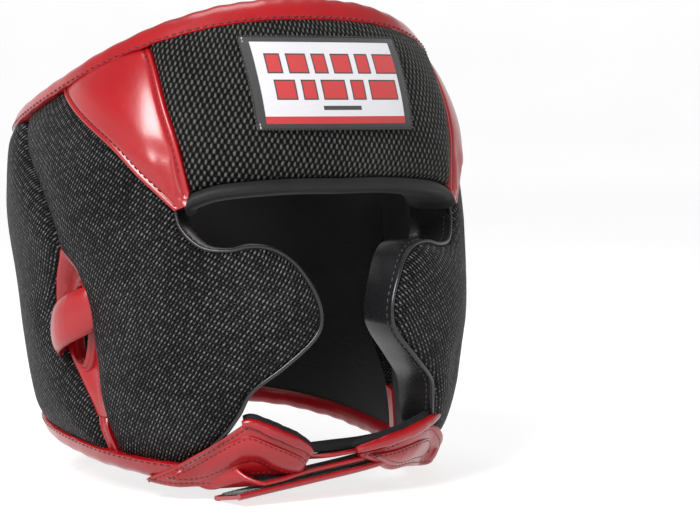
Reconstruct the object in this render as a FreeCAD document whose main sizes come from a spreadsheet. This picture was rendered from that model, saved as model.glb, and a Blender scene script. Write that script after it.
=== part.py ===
import FreeCAD, Part
import math
import os

# Boxing headgear with cheek guards, millimetres.
# +Z up, the face opening looks along -Y, the wearer's left is +X.
# The origin is the middle of the head cavity, on the plane of symmetry.

os.makedirs("parts", exist_ok=True)
doc = FreeCAD.newDocument("BoxingHeadgear")
V = FreeCAD.Vector

# ---------------------------------------------------------------- driving sizes
SIZES = {
    "corner_power": 2.4,       # fullness of the oval horizontal sections
    "reach": 170.0,            # how far the panel cutters run outwards
    "cover_thick": 1.6,
    "lining_thick": 1.5,
    "pad_bulge": 3.5,          # forehead and rear pads stand proud of the rest
    "patch_thick": 1.2,
    "peel_gap": 0.5,
    "hook_thick": 1.0,
    "strap_thick": 2.4,
    "trim_height": 8.0,
    "rim_side": 70.5, "rim_rear": 40.0,
    "jaw_front": -119.0, "jaw_side": -114.0, "jaw_rear": -94.0,
    "rear_gap_half": 22.0,
    "edge_band": 1.6, "face_back": 60.0,
    "piping_out": 1.2,
    "brow_roll_height": 8.0,
    "label_wide": 85.0, "label_high": 46.0, "label_bottom": 51.0, "label_shift": -1.5,
    "ear_hole_half_wide": 9.0, "ear_hole_half_high": 20.0,
    "ear_ring_half_wide": 14.0, "ear_ring_half_high": 27.0,
    "ear_centre_y": -15.0, "ear_centre_z": -50.0,
    "ear_panel_x": 93.0, "ear_panel_thick": 3.0, "ear_ring_thick": 4.0,
    "bridge_bottom": -62.0, "bridge_high": 27.0, "bridge_thick": 9.0,
    "strap_wide": 28.0, "strap_front": -108.0,
    "crown_strap_wide": 34.0, "crown_strap_front": -14.0,
    "crown_radius": 229.0, "crown_top": 97.0,
    "rear_strap_bottom": 13.0, "rear_strap_wide": 32.0,
    "elastic_bottom": -52.0, "elastic_wide": 36.0,
}
sheet = doc.addObject("Spreadsheet::Sheet", "Dims")
for row, (alias, value) in enumerate(SIZES.items(), 1):
    sheet.set("A%d" % row, alias)
    sheet.set("B%d" % row, str(value))
    sheet.setAlias("B%d" % row, alias)

# height, half width, length to the front, length to the rear, padding thickness
LEVELS = [
    (-130, 92, 104, 92, 13),
    (-100, 102, 121, 103, 22),
    (-60, 107, 131, 111, 27),
    (-25, 111, 129, 117, 27),
    (15, 115, 113, 123, 25),
    (50, 113, 107, 122, 20),
    (85, 99, 94, 108, 13),
    (120, 77, 73, 85, 9),
]
LEVEL_NAMES = ("level_height", "half_wide", "to_front", "to_rear", "padding")
for column, title in zip("DEFGH", LEVEL_NAMES):
    sheet.set(column + "1", title)
    for row, level in enumerate(LEVELS, 2):
        sheet.set(column + str(row), str(level[LEVEL_NAMES.index(title)]))
        sheet.setAlias(column + str(row), "%s_%s" % (title, "abcdefgh"[row - 2]))
doc.recompute()


def dim(name):
    return float(sheet.get(name))


# ---------------------------------------------------------------- oval shells
def oval(half_wide, to_front, to_rear, height):
    """A full oval: rounder than an ellipse at its four corners."""
    power = 2.0 / dim("corner_power")
    pole_count = 16
    swell = 3.0 / (2.0 + math.cos(2.0 * math.pi / pole_count) ** power)
    poles = []
    for step in range(pole_count):
        turn = 2.0 * math.pi * step / pole_count
        across, along = math.sin(turn), math.cos(turn)
        length = to_front if along > 0 else to_rear
        x = math.copysign(abs(across) ** power * half_wide * swell, across)
        y = -math.copysign(abs(along) ** power * length * swell, along)
        poles.append(V(x, y, height))
    curve = Part.BSplineCurve()
    curve.buildFromPoles(poles, True, 3)
    return Part.Wire([curve.toShape()])


def shell_solid(name, outwards=0.0, depth=0.0):
    """A solid lofted through the levels, moved outwards, or inwards by depth x padding."""
    sections = []
    for letter in "abcdefgh":
        level = [dim("%s_%s" % (title, letter)) for title in LEVEL_NAMES]
        grow = outwards - depth * level[4]
        ring = doc.addObject("Part::Feature", "%s_%s" % (name, letter))
        ring.Shape = oval(level[1] + grow, level[2] + grow, level[3] + grow, level[0])
        sections.append(ring)
    loft = doc.addObject("Part::Loft", name)
    loft.Sections = sections
    loft.Solid = True
    loft.Ruled = False
    return loft


def boolean(kind, base, tool, name):
    item = doc.addObject("Part::" + kind, name)
    item.Base = base
    item.Tool = tool
    return item


def cut(base, tool, name):
    return boolean("Cut", base, tool, name)


def common(base, tool, name):
    return boolean("Common", base, tool, name)


def mirror_of(item, name):
    """The same piece on the wearer's left."""
    twin = doc.addObject("Part::Mirroring", name)
    twin.Source = item
    twin.Normal = V(1, 0, 0)
    return twin


def between(outer, inner, zone, name):
    """The piece of the layer between two shells that lies in a zone."""
    return cut(common(outer, zone, name + "_out"), inner, name)


# ---------------------------------------------------------------- outlines
def facing(angle, offset=0.0):
    """Upright plane whose outward normal is turned `angle` degrees from the front."""
    turn = math.radians(angle)
    normal = V(math.sin(turn), -math.cos(turn), 0)
    across = V(math.cos(turn), math.sin(turn), 0)
    return FreeCAD.Placement(
        normal * offset, FreeCAD.Rotation(across, V(0, 0, 1), normal, "XYZ"))


def outline(name, runs, placement):
    """Closed sketch. A run of 2 points is a line, a longer run is a smooth curve."""
    sketch = doc.addObject("Sketcher::SketchObject", name)
    for run in runs:
        points = [V(u, v, 0) for u, v in run]
        if len(points) == 2:
            sketch.addGeometry(Part.LineSegment(*points))
        else:
            curve = Part.BSplineCurve()
            curve.interpolate(points)
            sketch.addGeometry(curve)
    sketch.Placement = placement
    return sketch


def loop_of(*curves):
    """Joins open runs of points end to end with straight lines into a closed loop."""
    runs = []
    for index, curve in enumerate(curves):
        if len(curve) > 1:
            runs.append(curve)
        following = curves[(index + 1) % len(curves)]
        if curve[-1] != following[0]:
            runs.append([curve[-1], following[0]])
    return runs


def polygon(points):
    return [[points[i], points[(i + 1) % len(points)]] for i in range(len(points))]


def rectangle(low_u, low_v, high_u, high_v):
    return polygon([(low_u, low_v), (high_u, low_v), (high_u, high_v), (low_u, high_v)])


def extruded(name, runs, placement, length):
    face = outline(name + "_outline", runs, placement)
    body = doc.addObject("Part::Extrusion", name)
    body.Base = face
    body.DirMode = "Normal"
    body.Solid = True
    body.setExpression("LengthFwd", length)
    return body


def prism(name, runs, angle, length="Dims.reach", offset=0.0):
    """Outward prism of an outline drawn on the upright plane facing `angle`."""
    return extruded(name, runs, facing(angle, offset), length)


def across_prism(name, runs):
    """Prism right across the headgear of an outline in the plane of symmetry."""
    body = prism(name, runs, 90)
    body.setExpression("LengthRev", "Dims.reach")
    return body


def shifted(points, distance):
    """The same run moved sideways, to its left as it is walked."""
    moved = []
    for index, (u, v) in enumerate(points):
        before = points[max(index - 1, 0)]
        after = points[min(index + 1, len(points) - 1)]
        du, dv = after[0] - before[0], after[1] - before[1]
        size = math.hypot(du, dv)
        moved.append((u - distance * dv / size, v + distance * du / size))
    return moved


def arc_points(first, middle, last, count=7, lift=0.0):
    """Points of the circle through three points, `lift` mm further from its centre."""
    arc = Part.Arc(V(*first, 0), V(*middle, 0), V(*last, 0)).toShape()
    centre = arc.Curve.Center
    points = []
    for at in arc.discretize(count):
        at = at + (at - centre).normalize() * lift
        points.append((at.x, at.y))
    return points


def ellipse_run(centre_u, centre_v, half_u, half_v):
    return [(centre_u + half_u * math.cos(math.radians(turn)),
             centre_v + half_v * math.sin(math.radians(turn))) for turn in range(0, 361, 30)]


nodes = []


def node(item, label):
    item.Label = label
    nodes.append(item)
    return item


# ---------------------------------------------------------------- layered shell
surface = shell_solid("surface")
under_cover = shell_solid("under_cover", -dim("cover_thick"))
proud = shell_solid("proud", dim("pad_bulge"))
under_proud = shell_solid("under_proud", dim("pad_bulge") - dim("cover_thick"))
over_lining = shell_solid("over_lining", dim("lining_thick"), 1.0)
cavity = shell_solid("cavity", 0.0, 1.0)
patch_face = shell_solid("patch_face", dim("pad_bulge") + dim("patch_thick"))
hook_start = dim("pad_bulge") + dim("patch_thick") + dim("peel_gap")
hook_inner = shell_solid("hook_inner", hook_start)
hook_outer = shell_solid("hook_outer", hook_start + dim("hook_thick"))
tail_outer = shell_solid("tail_outer", hook_start + dim("hook_thick") + dim("strap_thick"))
tab_outer = shell_solid("tab_outer", -4.0)
tab_inner = shell_solid("tab_inner", -8.0)

RIM = ((-95.0, 117.0), (0.0, dim("rim_side")), (135.0, dim("rim_rear")))
JAW = ((-135.0, dim("jaw_front")), (-30.0, dim("jaw_side")), (135.0, dim("jaw_rear")))
rim_line = arc_points(*RIM)
rim_top = [(u, v + dim("trim_height")) for u, v in rim_line]
jaw_line = arc_points(*JAW)
jaw_low = [(u, v - dim("trim_height")) for u, v in jaw_line]
pad_zone = across_prism("pad_zone", loop_of(
    rim_line, jaw_line[::-1], [(-160.0, -119.0)], [(-160.0, 117.0)]))
rim_zone = across_prism("rim_zone", loop_of(rim_line, rim_top[::-1]))
jaw_zone = across_prism("jaw_zone", loop_of(jaw_line, jaw_low[::-1]))


def layer(name, outer, inner):
    return common(cut(outer, inner, name + "_all"), pad_zone, name)


cover_layer = layer("cover_layer", surface, under_cover)
foam_layer = layer("foam_layer", under_cover, over_lining)
lining_layer = layer("lining_layer", over_lining, cavity)
proud_cover_layer = layer("proud_cover_layer", proud, under_proud)
proud_foam_layer = layer("proud_foam_layer", under_proud, over_lining)
full_thickness = cut(surface, cavity, "full_thickness")

# ---------------------------------------------------------------- forehead
BROW = [(-76.0, 20.0), (-62.0, 24.5), (-30.0, 27.0), (0.0, 27.0),
        (30.0, 27.0), (62.0, 24.5), (76.0, 20.0)]
forehead_zone = prism("forehead_zone", loop_of(
    BROW, [(82.0, 64.0)], [(79.0, 125.0)], [(-79.0, 125.0)], [(-82.0, 64.0)]), 0)
node(common(proud_cover_layer, forehead_zone, "Forehead1"), "forehead_cover")
node(common(proud_foam_layer, forehead_zone, "Forehead2"), "forehead_foam")
node(common(lining_layer, forehead_zone, "Forehead3"), "forehead_lining")

brow_low = [(u, v - dim("brow_roll_height")) for u, v in BROW]
brow_zone = prism("brow_zone", loop_of(BROW, brow_low[::-1]), 0)
node(between(surface, cavity, brow_zone, "BrowRoll"), "brow_roll")

label_left = dim("label_shift") - dim("label_wide") / 2.0
label_zone = prism("label_zone", rectangle(
    label_left, dim("label_bottom"),
    label_left + dim("label_wide"), dim("label_bottom") + dim("label_high")), 0)
node(between(patch_face, proud, label_zone, "Label1"), "forehead_label")

# ---------------------------------------------------------------- right side
# Outlines on slanted planes: u runs towards the wearer's left, v is the height.
FACE_EDGE = [(-67.0, 14.0), (-65.0, 3.0), (-56.0, -6.5), (-43.0, -8.0), (-33.0, -6.0),
             (-21.0, -7.5), (-10.0, -15.0), (-1.0, -29.0), (2.0, -41.0), (-2.0, -51.0),
             (-18.0, -65.0), (-33.0, -77.0), (-39.0, -90.0), (-48.0, -104.0), (-66.0, -129.0)]
FACE_ANGLE = -10.0
WEDGE = [(-66.0, 76.0), (-20.0, 47.0), (6.6, 26.0), (25.0, 11.0), (34.0, 20.0),
         (34.0, 60.0), (6.0, 120.0), (-66.0, 120.0)]
# Length and height as seen from the wearer's right.
GROOVE = [(48.0, 75.0), (34.0, 39.0), (13.0, 20.0), (-2.0, 2.0), (-8.0, -11.0)]
SLIT_REAR = [(-8.0, -11.0), (2.0, -30.0), (4.0, -50.0), (-8.0, -67.0), (-24.0, -84.0),
             (-33.0, -101.0), (-38.0, -135.0)]
SLIT_FRONT = [(-8.0, -11.0), (-25.0, -22.0), (-34.0, -42.0), (-36.5, -66.0),
              (-38.0, -90.0), (-46.0, -135.0)]
PANEL_FLOOR = -92.0


def from_right(points):
    return [(-y, z) for y, z in points]


rear_zone = prism("rear_zone", loop_of(
    from_right(GROOVE), from_right(SLIT_REAR), [(-150.0, -135.0)], [(-150.0, 75.0)]),
    -90, "Dims.reach - Dims.rear_gap_half", dim("rear_gap_half"))
slit_zone = prism("slit_zone", loop_of(
    from_right(SLIT_REAR), from_right(SLIT_FRONT[::-1])), -90)
wedge_full = prism("wedge_full", polygon(WEDGE), -55)
wedge_behind = cut(wedge_full, forehead_zone, "wedge_behind")
wedge_zone = cut(wedge_behind, brow_zone, "wedge_zone")
inner_edge = shifted(FACE_EDGE, -dim("edge_band"))
outer_edge = shifted(FACE_EDGE, dim("piping_out"))
side_full = prism("side_full", loop_of(
    inner_edge, [(-150.0, inner_edge[-1][1])], [(-150.0, 110.0)],
    [(inner_edge[0][0], 110.0)]), FACE_ANGLE, "Dims.reach + Dims.face_back",
    -dim("face_back"))
side_no_wedge = cut(side_full, wedge_full, "side_no_wedge")
side_no_brow = cut(side_no_wedge, forehead_zone, "side_no_brow")
side_no_rear = cut(side_no_brow, rear_zone, "side_no_rear")
side_zone = cut(side_no_rear, slit_zone, "side_zone")

right_side = {
    "temple_wedge": common(cover_layer, wedge_zone, "Wedge1"),
    "temple_foam": common(foam_layer, wedge_zone, "Wedge2"),
    "temple_lining": common(lining_layer, wedge_zone, "Wedge3"),
    "side_cover": common(cover_layer, side_zone, "Side1"),
    "side_foam": common(foam_layer, side_zone, "Side2"),
    "side_lining": common(lining_layer, side_zone, "Side3"),
    "rear_cover": common(proud_cover_layer, rear_zone, "Rear1"),
    "rear_foam": common(proud_foam_layer, rear_zone, "Rear2"),
    "rear_lining": common(lining_layer, rear_zone, "Rear3"),
}

# band along the edge of the face opening, and the piping along its outer corner
band_zone = prism("band_zone", loop_of(FACE_EDGE, inner_edge[::-1]), FACE_ANGLE)
band_clear = cut(band_zone, wedge_full, "band_clear")
band_pads = common(band_clear, pad_zone, "band_pads")
right_side["cheek_gusset"] = between(under_cover, cavity, band_pads, "Gusset")
piping_zone = prism("piping_zone", loop_of(outer_edge, inner_edge[::-1]), FACE_ANGLE)
piping_clear = cut(piping_zone, wedge_full, "piping_clear")
piping_pads = common(piping_clear, pad_zone, "piping_pads")
right_side["cheek_piping"] = between(proud, under_cover, piping_pads, "Piping")

# ---------------------------------------------------------------- ear opening
ear_u = -dim("ear_centre_y")
ear_v = dim("ear_centre_z")
ear_hole = prism("ear_hole", [ellipse_run(
    ear_u, ear_v, dim("ear_hole_half_wide"), dim("ear_hole_half_high"))], -90)
panel_blank = prism("panel_blank", rectangle(-30.0, PANEL_FLOOR, 60.0, -5.0),
                    -90, "Dims.ear_panel_thick", dim("ear_panel_x"))
panel_solid = common(panel_blank, slit_zone, "panel_solid")
right_side["ear_panel"] = cut(panel_solid, ear_hole, "EarPanel")
ring_blank = prism("ring_blank", [ellipse_run(
    ear_u, ear_v, dim("ear_ring_half_wide"), dim("ear_ring_half_high"))],
    -90, "Dims.ear_ring_thick", dim("ear_panel_x") + dim("ear_panel_thick"))
ring_solid = common(ring_blank, slit_zone, "ring_solid")
right_side["ear_ring"] = cut(ring_solid, ear_hole, "EarRing")

# padded loop across the opening, drawn from above
BOW = ((-101.0, 14.0), (-119.0, -17.0), (-103.0, -46.0))
bow_inner = arc_points(*BOW, lift=-dim("bridge_thick"))
bridge_blank = extruded(
    "bridge_blank", loop_of(arc_points(*BOW), bow_inner[::-1]),
    FreeCAD.Placement(V(0, 0, dim("bridge_bottom")), FreeCAD.Rotation()),
    "Dims.bridge_high")
right_side["ear_bridge"] = common(bridge_blank, slit_zone, "EarBridge")
strip_box = prism("strip_box", rectangle(-30.0, -135.0, 60.0, PANEL_FLOOR), -90)
strip_slit = common(strip_box, slit_zone, "strip_slit")
strip_zone = common(strip_slit, pad_zone, "strip_zone")
right_side["ear_strip"] = between(under_cover, cavity, strip_zone, "EarStrip")

# ---------------------------------------------------------------- trims
node(common(full_thickness, rim_zone, "CrownTrim"), "crown_trim")
jaw_box = prism("jaw_box", rectangle(-150.0, -140.0, 74.0, -80.0), -90,
                "Dims.reach - Dims.rear_gap_half", dim("rear_gap_half"))
jaw_right = common(jaw_zone, jaw_box, "jaw_right")
right_side["jaw_trim"] = common(full_thickness, jaw_right, "JawTrim")

# ---------------------------------------------------------------- chin
# The strap is seen from the front: u is across, v is the height.
PASS_UPPER = ((50.0, -109.8), (-54.0, -118.1))
PASS_LOWER = ((-54.0, -125.7), (44.0, -113.6))
PASS_TAIL = ((43.4, -118.4), (-56.0, -131.4))
TAB = [(-80.0, -126.0), (-74.0, -110.0), (-60.0, -99.0), (-44.0, -103.0), (-20.0, -111.0),
       (-21.0, -116.0), (-46.0, -118.0), (-50.0, -124.0), (-74.0, -126.0)]
ROLL_LOW = [(-64.0, -99.5), (-58.0, -99.0), (-44.0, -103.0), (-20.0, -111.0)]
ROLL_TOP = [(u, v + 7.0) for u, v in ROLL_LOW]


def along(line, start, end, lift=0.0):
    """Two points of a straight pass, between two widths, moved upwards by lift."""
    (u0, v0), (u1, v1) = line
    slope = (v1 - v0) / (u1 - u0)
    return [(u, v0 + slope * (u - u0) + lift) for u in (start, end)]


def strip_runs(line, start, end, low, high):
    return loop_of(along(line, start, end, low), along(line, end, start, high))


def chin_plate(name, runs):
    """Plate seen from the front, as wide as the chin strap."""
    return prism(name, runs, 0, "Dims.strap_wide", -dim("strap_front") - dim("strap_wide"))


half_strap = dim("strap_thick") / 2.0
touching = half_strap + 0.02
RIGHT_TURN = ((-54.0, -118.1), (-57.8, -121.9), (-54.0, -125.7))
LEFT_TURN = ((44.0, -113.6), (47.4, -115.6), (45.4, -118.2))
strap_centre = (along(PASS_UPPER, 50.0, -54.0) + arc_points(*RIGHT_TURN, count=11)[1:]
                + along(PASS_LOWER, -54.0, 44.0)[1:] + arc_points(*LEFT_TURN)[1:])
strap_outline = polygon(
    shifted(strap_centre, half_strap) + shifted(strap_centre, -half_strap)[::-1])
node(chin_plate("ChinStrap", strap_outline), "chin_strap")
node(chin_plate("ChinLoop", strip_runs(
    PASS_LOWER, -40.0, 30.0, -touching - 1.0, -touching)), "chin_loop_patch")
node(chin_plate("ChinTail", strip_runs(
    PASS_TAIL, 43.4, -56.0, -half_strap, half_strap)), "chin_strap_tail")
node(chin_plate("ChinHook", strip_runs(
    PASS_TAIL, 8.0, -50.0, touching, touching + 1.0)), "chin_hook_patch")

# where the folded strap passes through the two tabs
slot_right = prism("slot_right", loop_of(
    along(PASS_UPPER, 0.0, -60.5, touching), along(PASS_LOWER, -60.5, 0.0, -touching)), 0)
slot_left = prism("slot_left", loop_of(
    along(PASS_UPPER, 10.0, 60.0, touching),
    along(PASS_TAIL, 60.0, 10.0, -half_strap - dim("peel_gap"))), 0)
tab_zone = prism("tab_zone", polygon(TAB), 0, "Dims.reach", 60.0)
tab_plate = between(tab_outer, tab_inner, tab_zone, "tab_plate")
tab_clear = cut(tab_plate, side_full, "tab_clear")
tab_free = cut(tab_clear, band_zone, "tab_free")
tab_above = cut(tab_free, right_side["jaw_trim"], "tab_above")
node(cut(tab_above, slot_right, "ChinTabR"), "chin_tab_R")
tab_twin = mirror_of(tab_above, "tab_twin")
node(cut(tab_twin, slot_left, "ChinTabL"), "chin_tab_L")
roll_zone = prism("roll_zone", loop_of(ROLL_LOW, ROLL_TOP[::-1]), 0)
roll_plate = between(under_cover, tab_inner, roll_zone, "roll_plate")
roll_clear = cut(roll_plate, side_full, "roll_clear")
roll_free = cut(roll_clear, band_zone, "roll_free")
right_side["chin_roll"] = cut(roll_free, tab_zone, "ChinRoll")
PAD_ARC = ((-61.0, -104.4), (0.0, -108.2), (61.0, -102.8))
pad_plate = chin_plate("pad_plate", loop_of(
    arc_points(*PAD_ARC), arc_points(*PAD_ARC, lift=3.2)[::-1]))
node(common(pad_plate, tab_inner, "ChinPad"), "chin_pad")

# ---------------------------------------------------------------- crown straps
# Seen from the front, each strap follows one circle over the crown.
radius = dim("crown_radius")


def crown_run(start, end, lift):
    first, last = math.asin(start / radius), math.asin(end / radius)
    centre = dim("crown_top") - radius
    turns = [first + (last - first) * step / 6.0 for step in range(7)]
    return [((radius + lift) * math.sin(a), centre + (radius + lift) * math.cos(a))
            for a in turns]


def crown_plate(name, start, end, low, high):
    return prism(name, loop_of(crown_run(start, end, low), crown_run(end, start, high)),
                 0, "Dims.crown_strap_wide",
                 -dim("crown_strap_front") - dim("crown_strap_wide"))


strap = dim("strap_thick")
hook_low = dim("patch_thick") + dim("peel_gap")
tail_low = hook_low + dim("hook_thick")
under_strap = crown_plate("under_strap", -100.0, 30.0, -strap, 0.0)
node(common(under_strap, cavity, "CrownStrapR"), "crown_strap_R")
node(crown_plate("CrownLoop", -42.0, 28.0, 0.0, dim("patch_thick")), "crown_loop_patch")
node(crown_plate("CrownHook", -32.0, 20.0, hook_low, tail_low), "crown_hook_patch")
node(crown_plate("CrownTail", -38.0, 50.0, tail_low, tail_low + strap), "crown_strap_tail")
over_strap = crown_plate("over_strap", 51.8, 100.0, tail_low, tail_low + strap)
node(common(over_strap, cavity, "CrownStrapL"), "crown_strap_L")

LENGTHWAYS = ((-90.0, 98.0), (5.0, 88.2), (120.0, 46.0))
lengthways = prism("lengthways", loop_of(
    arc_points(*LENGTHWAYS), arc_points(*LENGTHWAYS, lift=strap)[::-1]), 90,
    "Dims.crown_strap_wide / 2")
lengthways.setExpression("LengthRev", "Dims.crown_strap_wide / 2")
node(common(lengthways, cavity, "CrownStrapMid"), "crown_strap_middle")

# ---------------------------------------------------------------- rear closure
# Outlines seen from behind: u runs towards the wearer's right.
def rear_window(name, from_left, to_right, low, high):
    return prism(name, rectangle(-from_left, low, to_right, high), 180)


strap_low = dim("rear_strap_bottom")
strap_high = strap_low + dim("rear_strap_wide")
patch_low, patch_high = strap_low + 2.0, strap_high - 2.0
anchor_zone = rear_window("anchor_zone", 54.0, -26.0, strap_low, strap_high)
tail_zone = rear_window("tail_zone", 24.0, 60.0, strap_low, strap_high)
hook_zone = rear_window("hook_zone", -26.0, 56.0, patch_low, patch_high)
loop_zone = rear_window("loop_zone", -24.0, 64.0, patch_low, patch_high)
elastic_zone = rear_window("elastic_zone", 36.0, 36.0, dim("elastic_bottom"),
                           dim("elastic_bottom") + dim("elastic_wide"))
node(between(tail_outer, proud, anchor_zone, "RearStrap"), "rear_strap")
node(between(tail_outer, hook_outer, tail_zone, "RearTail"), "rear_strap_tail")
node(between(hook_outer, hook_inner, hook_zone, "RearHook"), "rear_hook_patch")
node(between(patch_face, proud, loop_zone, "RearLoop"), "rear_loop_patch")
node(between(patch_face, proud, elastic_zone, "RearElastic"), "rear_elastic")

# ---------------------------------------------------------------- both sides
for name, item in right_side.items():
    node(item, name + "_R")
    node(mirror_of(item, name + "_twin"), name + "_L")

doc.recompute()
for item in doc.Objects:
    broken = "Invalid" in item.State or "Error" in item.State
    if broken or (hasattr(item, "Shape") and (item.Shape.isNull() or not item.Shape.isValid())):
        raise SystemExit("%s did not build" % item.Name)
for item in nodes:
    item.Shape.exportStep("parts/%s.step" % item.Label)
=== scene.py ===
import math

import bpy
import numpy as np
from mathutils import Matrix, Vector
from mathutils.geometry import delaunay_2d_cdt


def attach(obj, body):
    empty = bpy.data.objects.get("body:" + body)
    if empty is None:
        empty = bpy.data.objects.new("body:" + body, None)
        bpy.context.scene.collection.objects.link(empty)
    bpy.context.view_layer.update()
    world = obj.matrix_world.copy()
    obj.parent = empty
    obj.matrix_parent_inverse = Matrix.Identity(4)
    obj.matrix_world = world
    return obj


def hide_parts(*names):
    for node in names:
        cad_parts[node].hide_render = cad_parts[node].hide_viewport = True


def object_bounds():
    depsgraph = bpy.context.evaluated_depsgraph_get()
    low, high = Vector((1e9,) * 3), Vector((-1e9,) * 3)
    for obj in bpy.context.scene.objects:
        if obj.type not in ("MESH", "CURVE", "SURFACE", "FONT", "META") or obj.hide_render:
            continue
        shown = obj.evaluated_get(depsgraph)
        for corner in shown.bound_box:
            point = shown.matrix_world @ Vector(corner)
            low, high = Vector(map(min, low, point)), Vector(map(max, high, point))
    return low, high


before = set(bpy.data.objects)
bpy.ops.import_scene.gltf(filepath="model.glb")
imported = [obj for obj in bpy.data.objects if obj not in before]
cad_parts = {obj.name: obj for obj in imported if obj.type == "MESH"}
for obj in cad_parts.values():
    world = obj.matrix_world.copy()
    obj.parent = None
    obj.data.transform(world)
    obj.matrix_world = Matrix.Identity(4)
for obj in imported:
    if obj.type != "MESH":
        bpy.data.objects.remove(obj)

# Boxing headgear. Shapes are worked out in millimetres in the frame of the CAD model
# (+Z up, the face opening looks along -Y, the wearer's left is +X) and made in metres.
CAD_BOX = [list(corner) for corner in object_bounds()]
MM = 0.001
HEAD = "headgear"
SIDES = ((-1, "_R"), (1, "_L"))
SWELL = 1.2    # mm that a pad's cloth may move out

# ---------------------------------------------------------------- the shell
# height, half width, length to the front, length to the rear, padding thickness
LEVELS = np.array([
    (-130, 92, 104, 92, 13), (-100, 102, 121, 103, 22), (-60, 107, 131, 111, 27),
    (-25, 111, 129, 117, 27), (15, 115, 113, 123, 25), (50, 113, 107, 122, 20),
    (85, 99, 94, 108, 13), (120, 77, 73, 85, 9)], float)
POWER = 2.4
ROUND = 110.0  # mm of width per radian, for flat distances on the shell


def level(z, column):
    """A measure of the shell at a height, smoothly between the levels."""
    zs, ys = LEVELS[:, 0], LEVELS[:, column]
    slope = np.gradient(ys, zs)
    z = np.clip(z, zs[0] - 10, zs[-1] + 10)
    i = np.clip(np.searchsorted(zs, z) - 1, 0, len(zs) - 2)
    h = zs[i + 1] - zs[i]
    t = (z - zs[i]) / h
    return ((2 * t**3 - 3 * t**2 + 1) * ys[i] + (t**3 - 2 * t**2 + t) * h * slope[i]
            + (-2 * t**3 + 3 * t**2) * ys[i + 1] + (t**3 - t**2) * h * slope[i + 1])


def shell(phi, z, out=0.0):
    """Points of the shell surface, moved out by out mm; phi is 0 at the front."""
    phi, z, out = np.broadcast_arrays(np.asarray(phi, float), np.asarray(z, float),
                                      np.asarray(out, float))
    s, c = np.sin(phi), np.cos(phi)
    a = level(z, 1) + out
    b = np.where(c > 0, level(z, 2), level(z, 3)) + out
    rho = ((np.abs(s) / a) ** POWER + (np.abs(c) / b) ** POWER) ** (-1 / POWER)
    return np.stack([rho * s, -rho * c, z], -1)


def turned(points, facing):
    """Angle and height on the shell of (u, v) points of an upright plane facing that way."""
    turn = math.radians(facing)
    across = np.array([math.cos(turn), math.sin(turn), 0])
    points = np.asarray(points, float)
    low = np.full(len(points), turn - math.radians(100))
    high = np.full(len(points), turn + math.radians(100))
    for _ in range(44):
        mid = (low + high) / 2
        less = shell(mid, points[:, 1]) @ across < points[:, 0]
        low, high = np.where(less, mid, low), np.where(less, high, mid)
    return np.stack([(low + high) / 2 * ROUND, points[:, 1]], 1)


def resample(points, step=2.5):
    points = np.asarray(points, float)
    size = np.r_[0, np.cumsum(np.linalg.norm(np.diff(points, axis=0), axis=1))]
    count = max(2, int(round(size[-1] / step)) + 1)
    at = np.linspace(0, size[-1], count)
    return np.stack([np.interp(at, size, points[:, k]) for k in range(points.shape[1])], 1)


def smooth(points, step=2.5):
    """A smooth curve through the points, evenly divided."""
    p = np.asarray(points, float)
    ends = np.vstack([2 * p[0] - p[1], p, 2 * p[-1] - p[-2]])
    out = []
    for i in range(1, len(ends) - 2):
        p0, p1, p2, p3 = ends[i - 1:i + 3]
        t = np.linspace(0, 1, 13)[:-1, None]
        out.append(0.5 * (2 * p1 + (p2 - p0) * t + (2 * p0 - 5 * p1 + 4 * p2 - p3) * t**2
                          + (3 * p1 - p0 - 3 * p2 + p3) * t**3))
    return resample(np.vstack(out + [p[-1:]]), step)


def circle_through(a, b, c):
    (ax, ay), (bx, by), (cx, cy) = a, b, c
    d = 2 * (ax * (by - cy) + bx * (cy - ay) + cx * (ay - by))
    ux = ((ax**2 + ay**2) * (by - cy) + (bx**2 + by**2) * (cy - ay)
          + (cx**2 + cy**2) * (ay - by)) / d
    uy = ((ax**2 + ay**2) * (cx - bx) + (bx**2 + by**2) * (ax - cx)
          + (cx**2 + cy**2) * (bx - ax)) / d
    return ux, uy, math.hypot(ax - ux, ay - uy)


RIM = circle_through((-95, 117), (0, 70.5), (135, 40))
JAW = circle_through((-135, -119), (-30, -114), (135, -94))


def edge_height(circle, y):
    cx, cy, r = circle
    side = 1 if cy < 0 else -1
    return cy + side * np.sqrt(np.maximum(r * r - (y - cx) ** 2, 0))


def on_edge(circle, phi):
    """Angle and height of the rim or the jaw line, as flat distances."""
    phi = np.atleast_1d(np.asarray(phi, float))
    z = np.zeros_like(phi)
    for _ in range(30):
        z = 0.5 * z + 0.5 * edge_height(circle, shell(phi, z)[:, 1])
    return np.stack([phi * ROUND, z], 1)


def until(points, circle, above):
    """The run of flat points up to where it crosses the rim (above) or the jaw line."""
    y = shell(points[:, 0] / ROUND, points[:, 1])[:, 1]
    over = points[:, 1] - edge_height(circle, y)
    over = over if above else -over
    hit = np.argmax(over > 0)
    if not (over > 0).any():
        return points
    t = over[hit - 1] / (over[hit - 1] - over[hit])
    return np.vstack([points[:hit], points[hit - 1] + t * (points[hit] - points[hit - 1])])


# ---------------------------------------------------------------- materials
class Value:
    """A value in a material's node tree that takes part in plain arithmetic."""

    def __init__(self, look, socket):
        self.look, self.socket = look, socket


for mark, operation in (("add", "ADD"), ("sub", "SUBTRACT"), ("mul", "MULTIPLY"),
                        ("truediv", "DIVIDE"), ("pow", "POWER"), ("mod", "FLOORED_MODULO")):
    setattr(Value, f"__{mark}__", lambda a, b, kind=operation: a.look.calc(kind, a, b))
    setattr(Value, f"__r{mark}__", lambda a, b, kind=operation: a.look.calc(kind, b, a))


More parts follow.
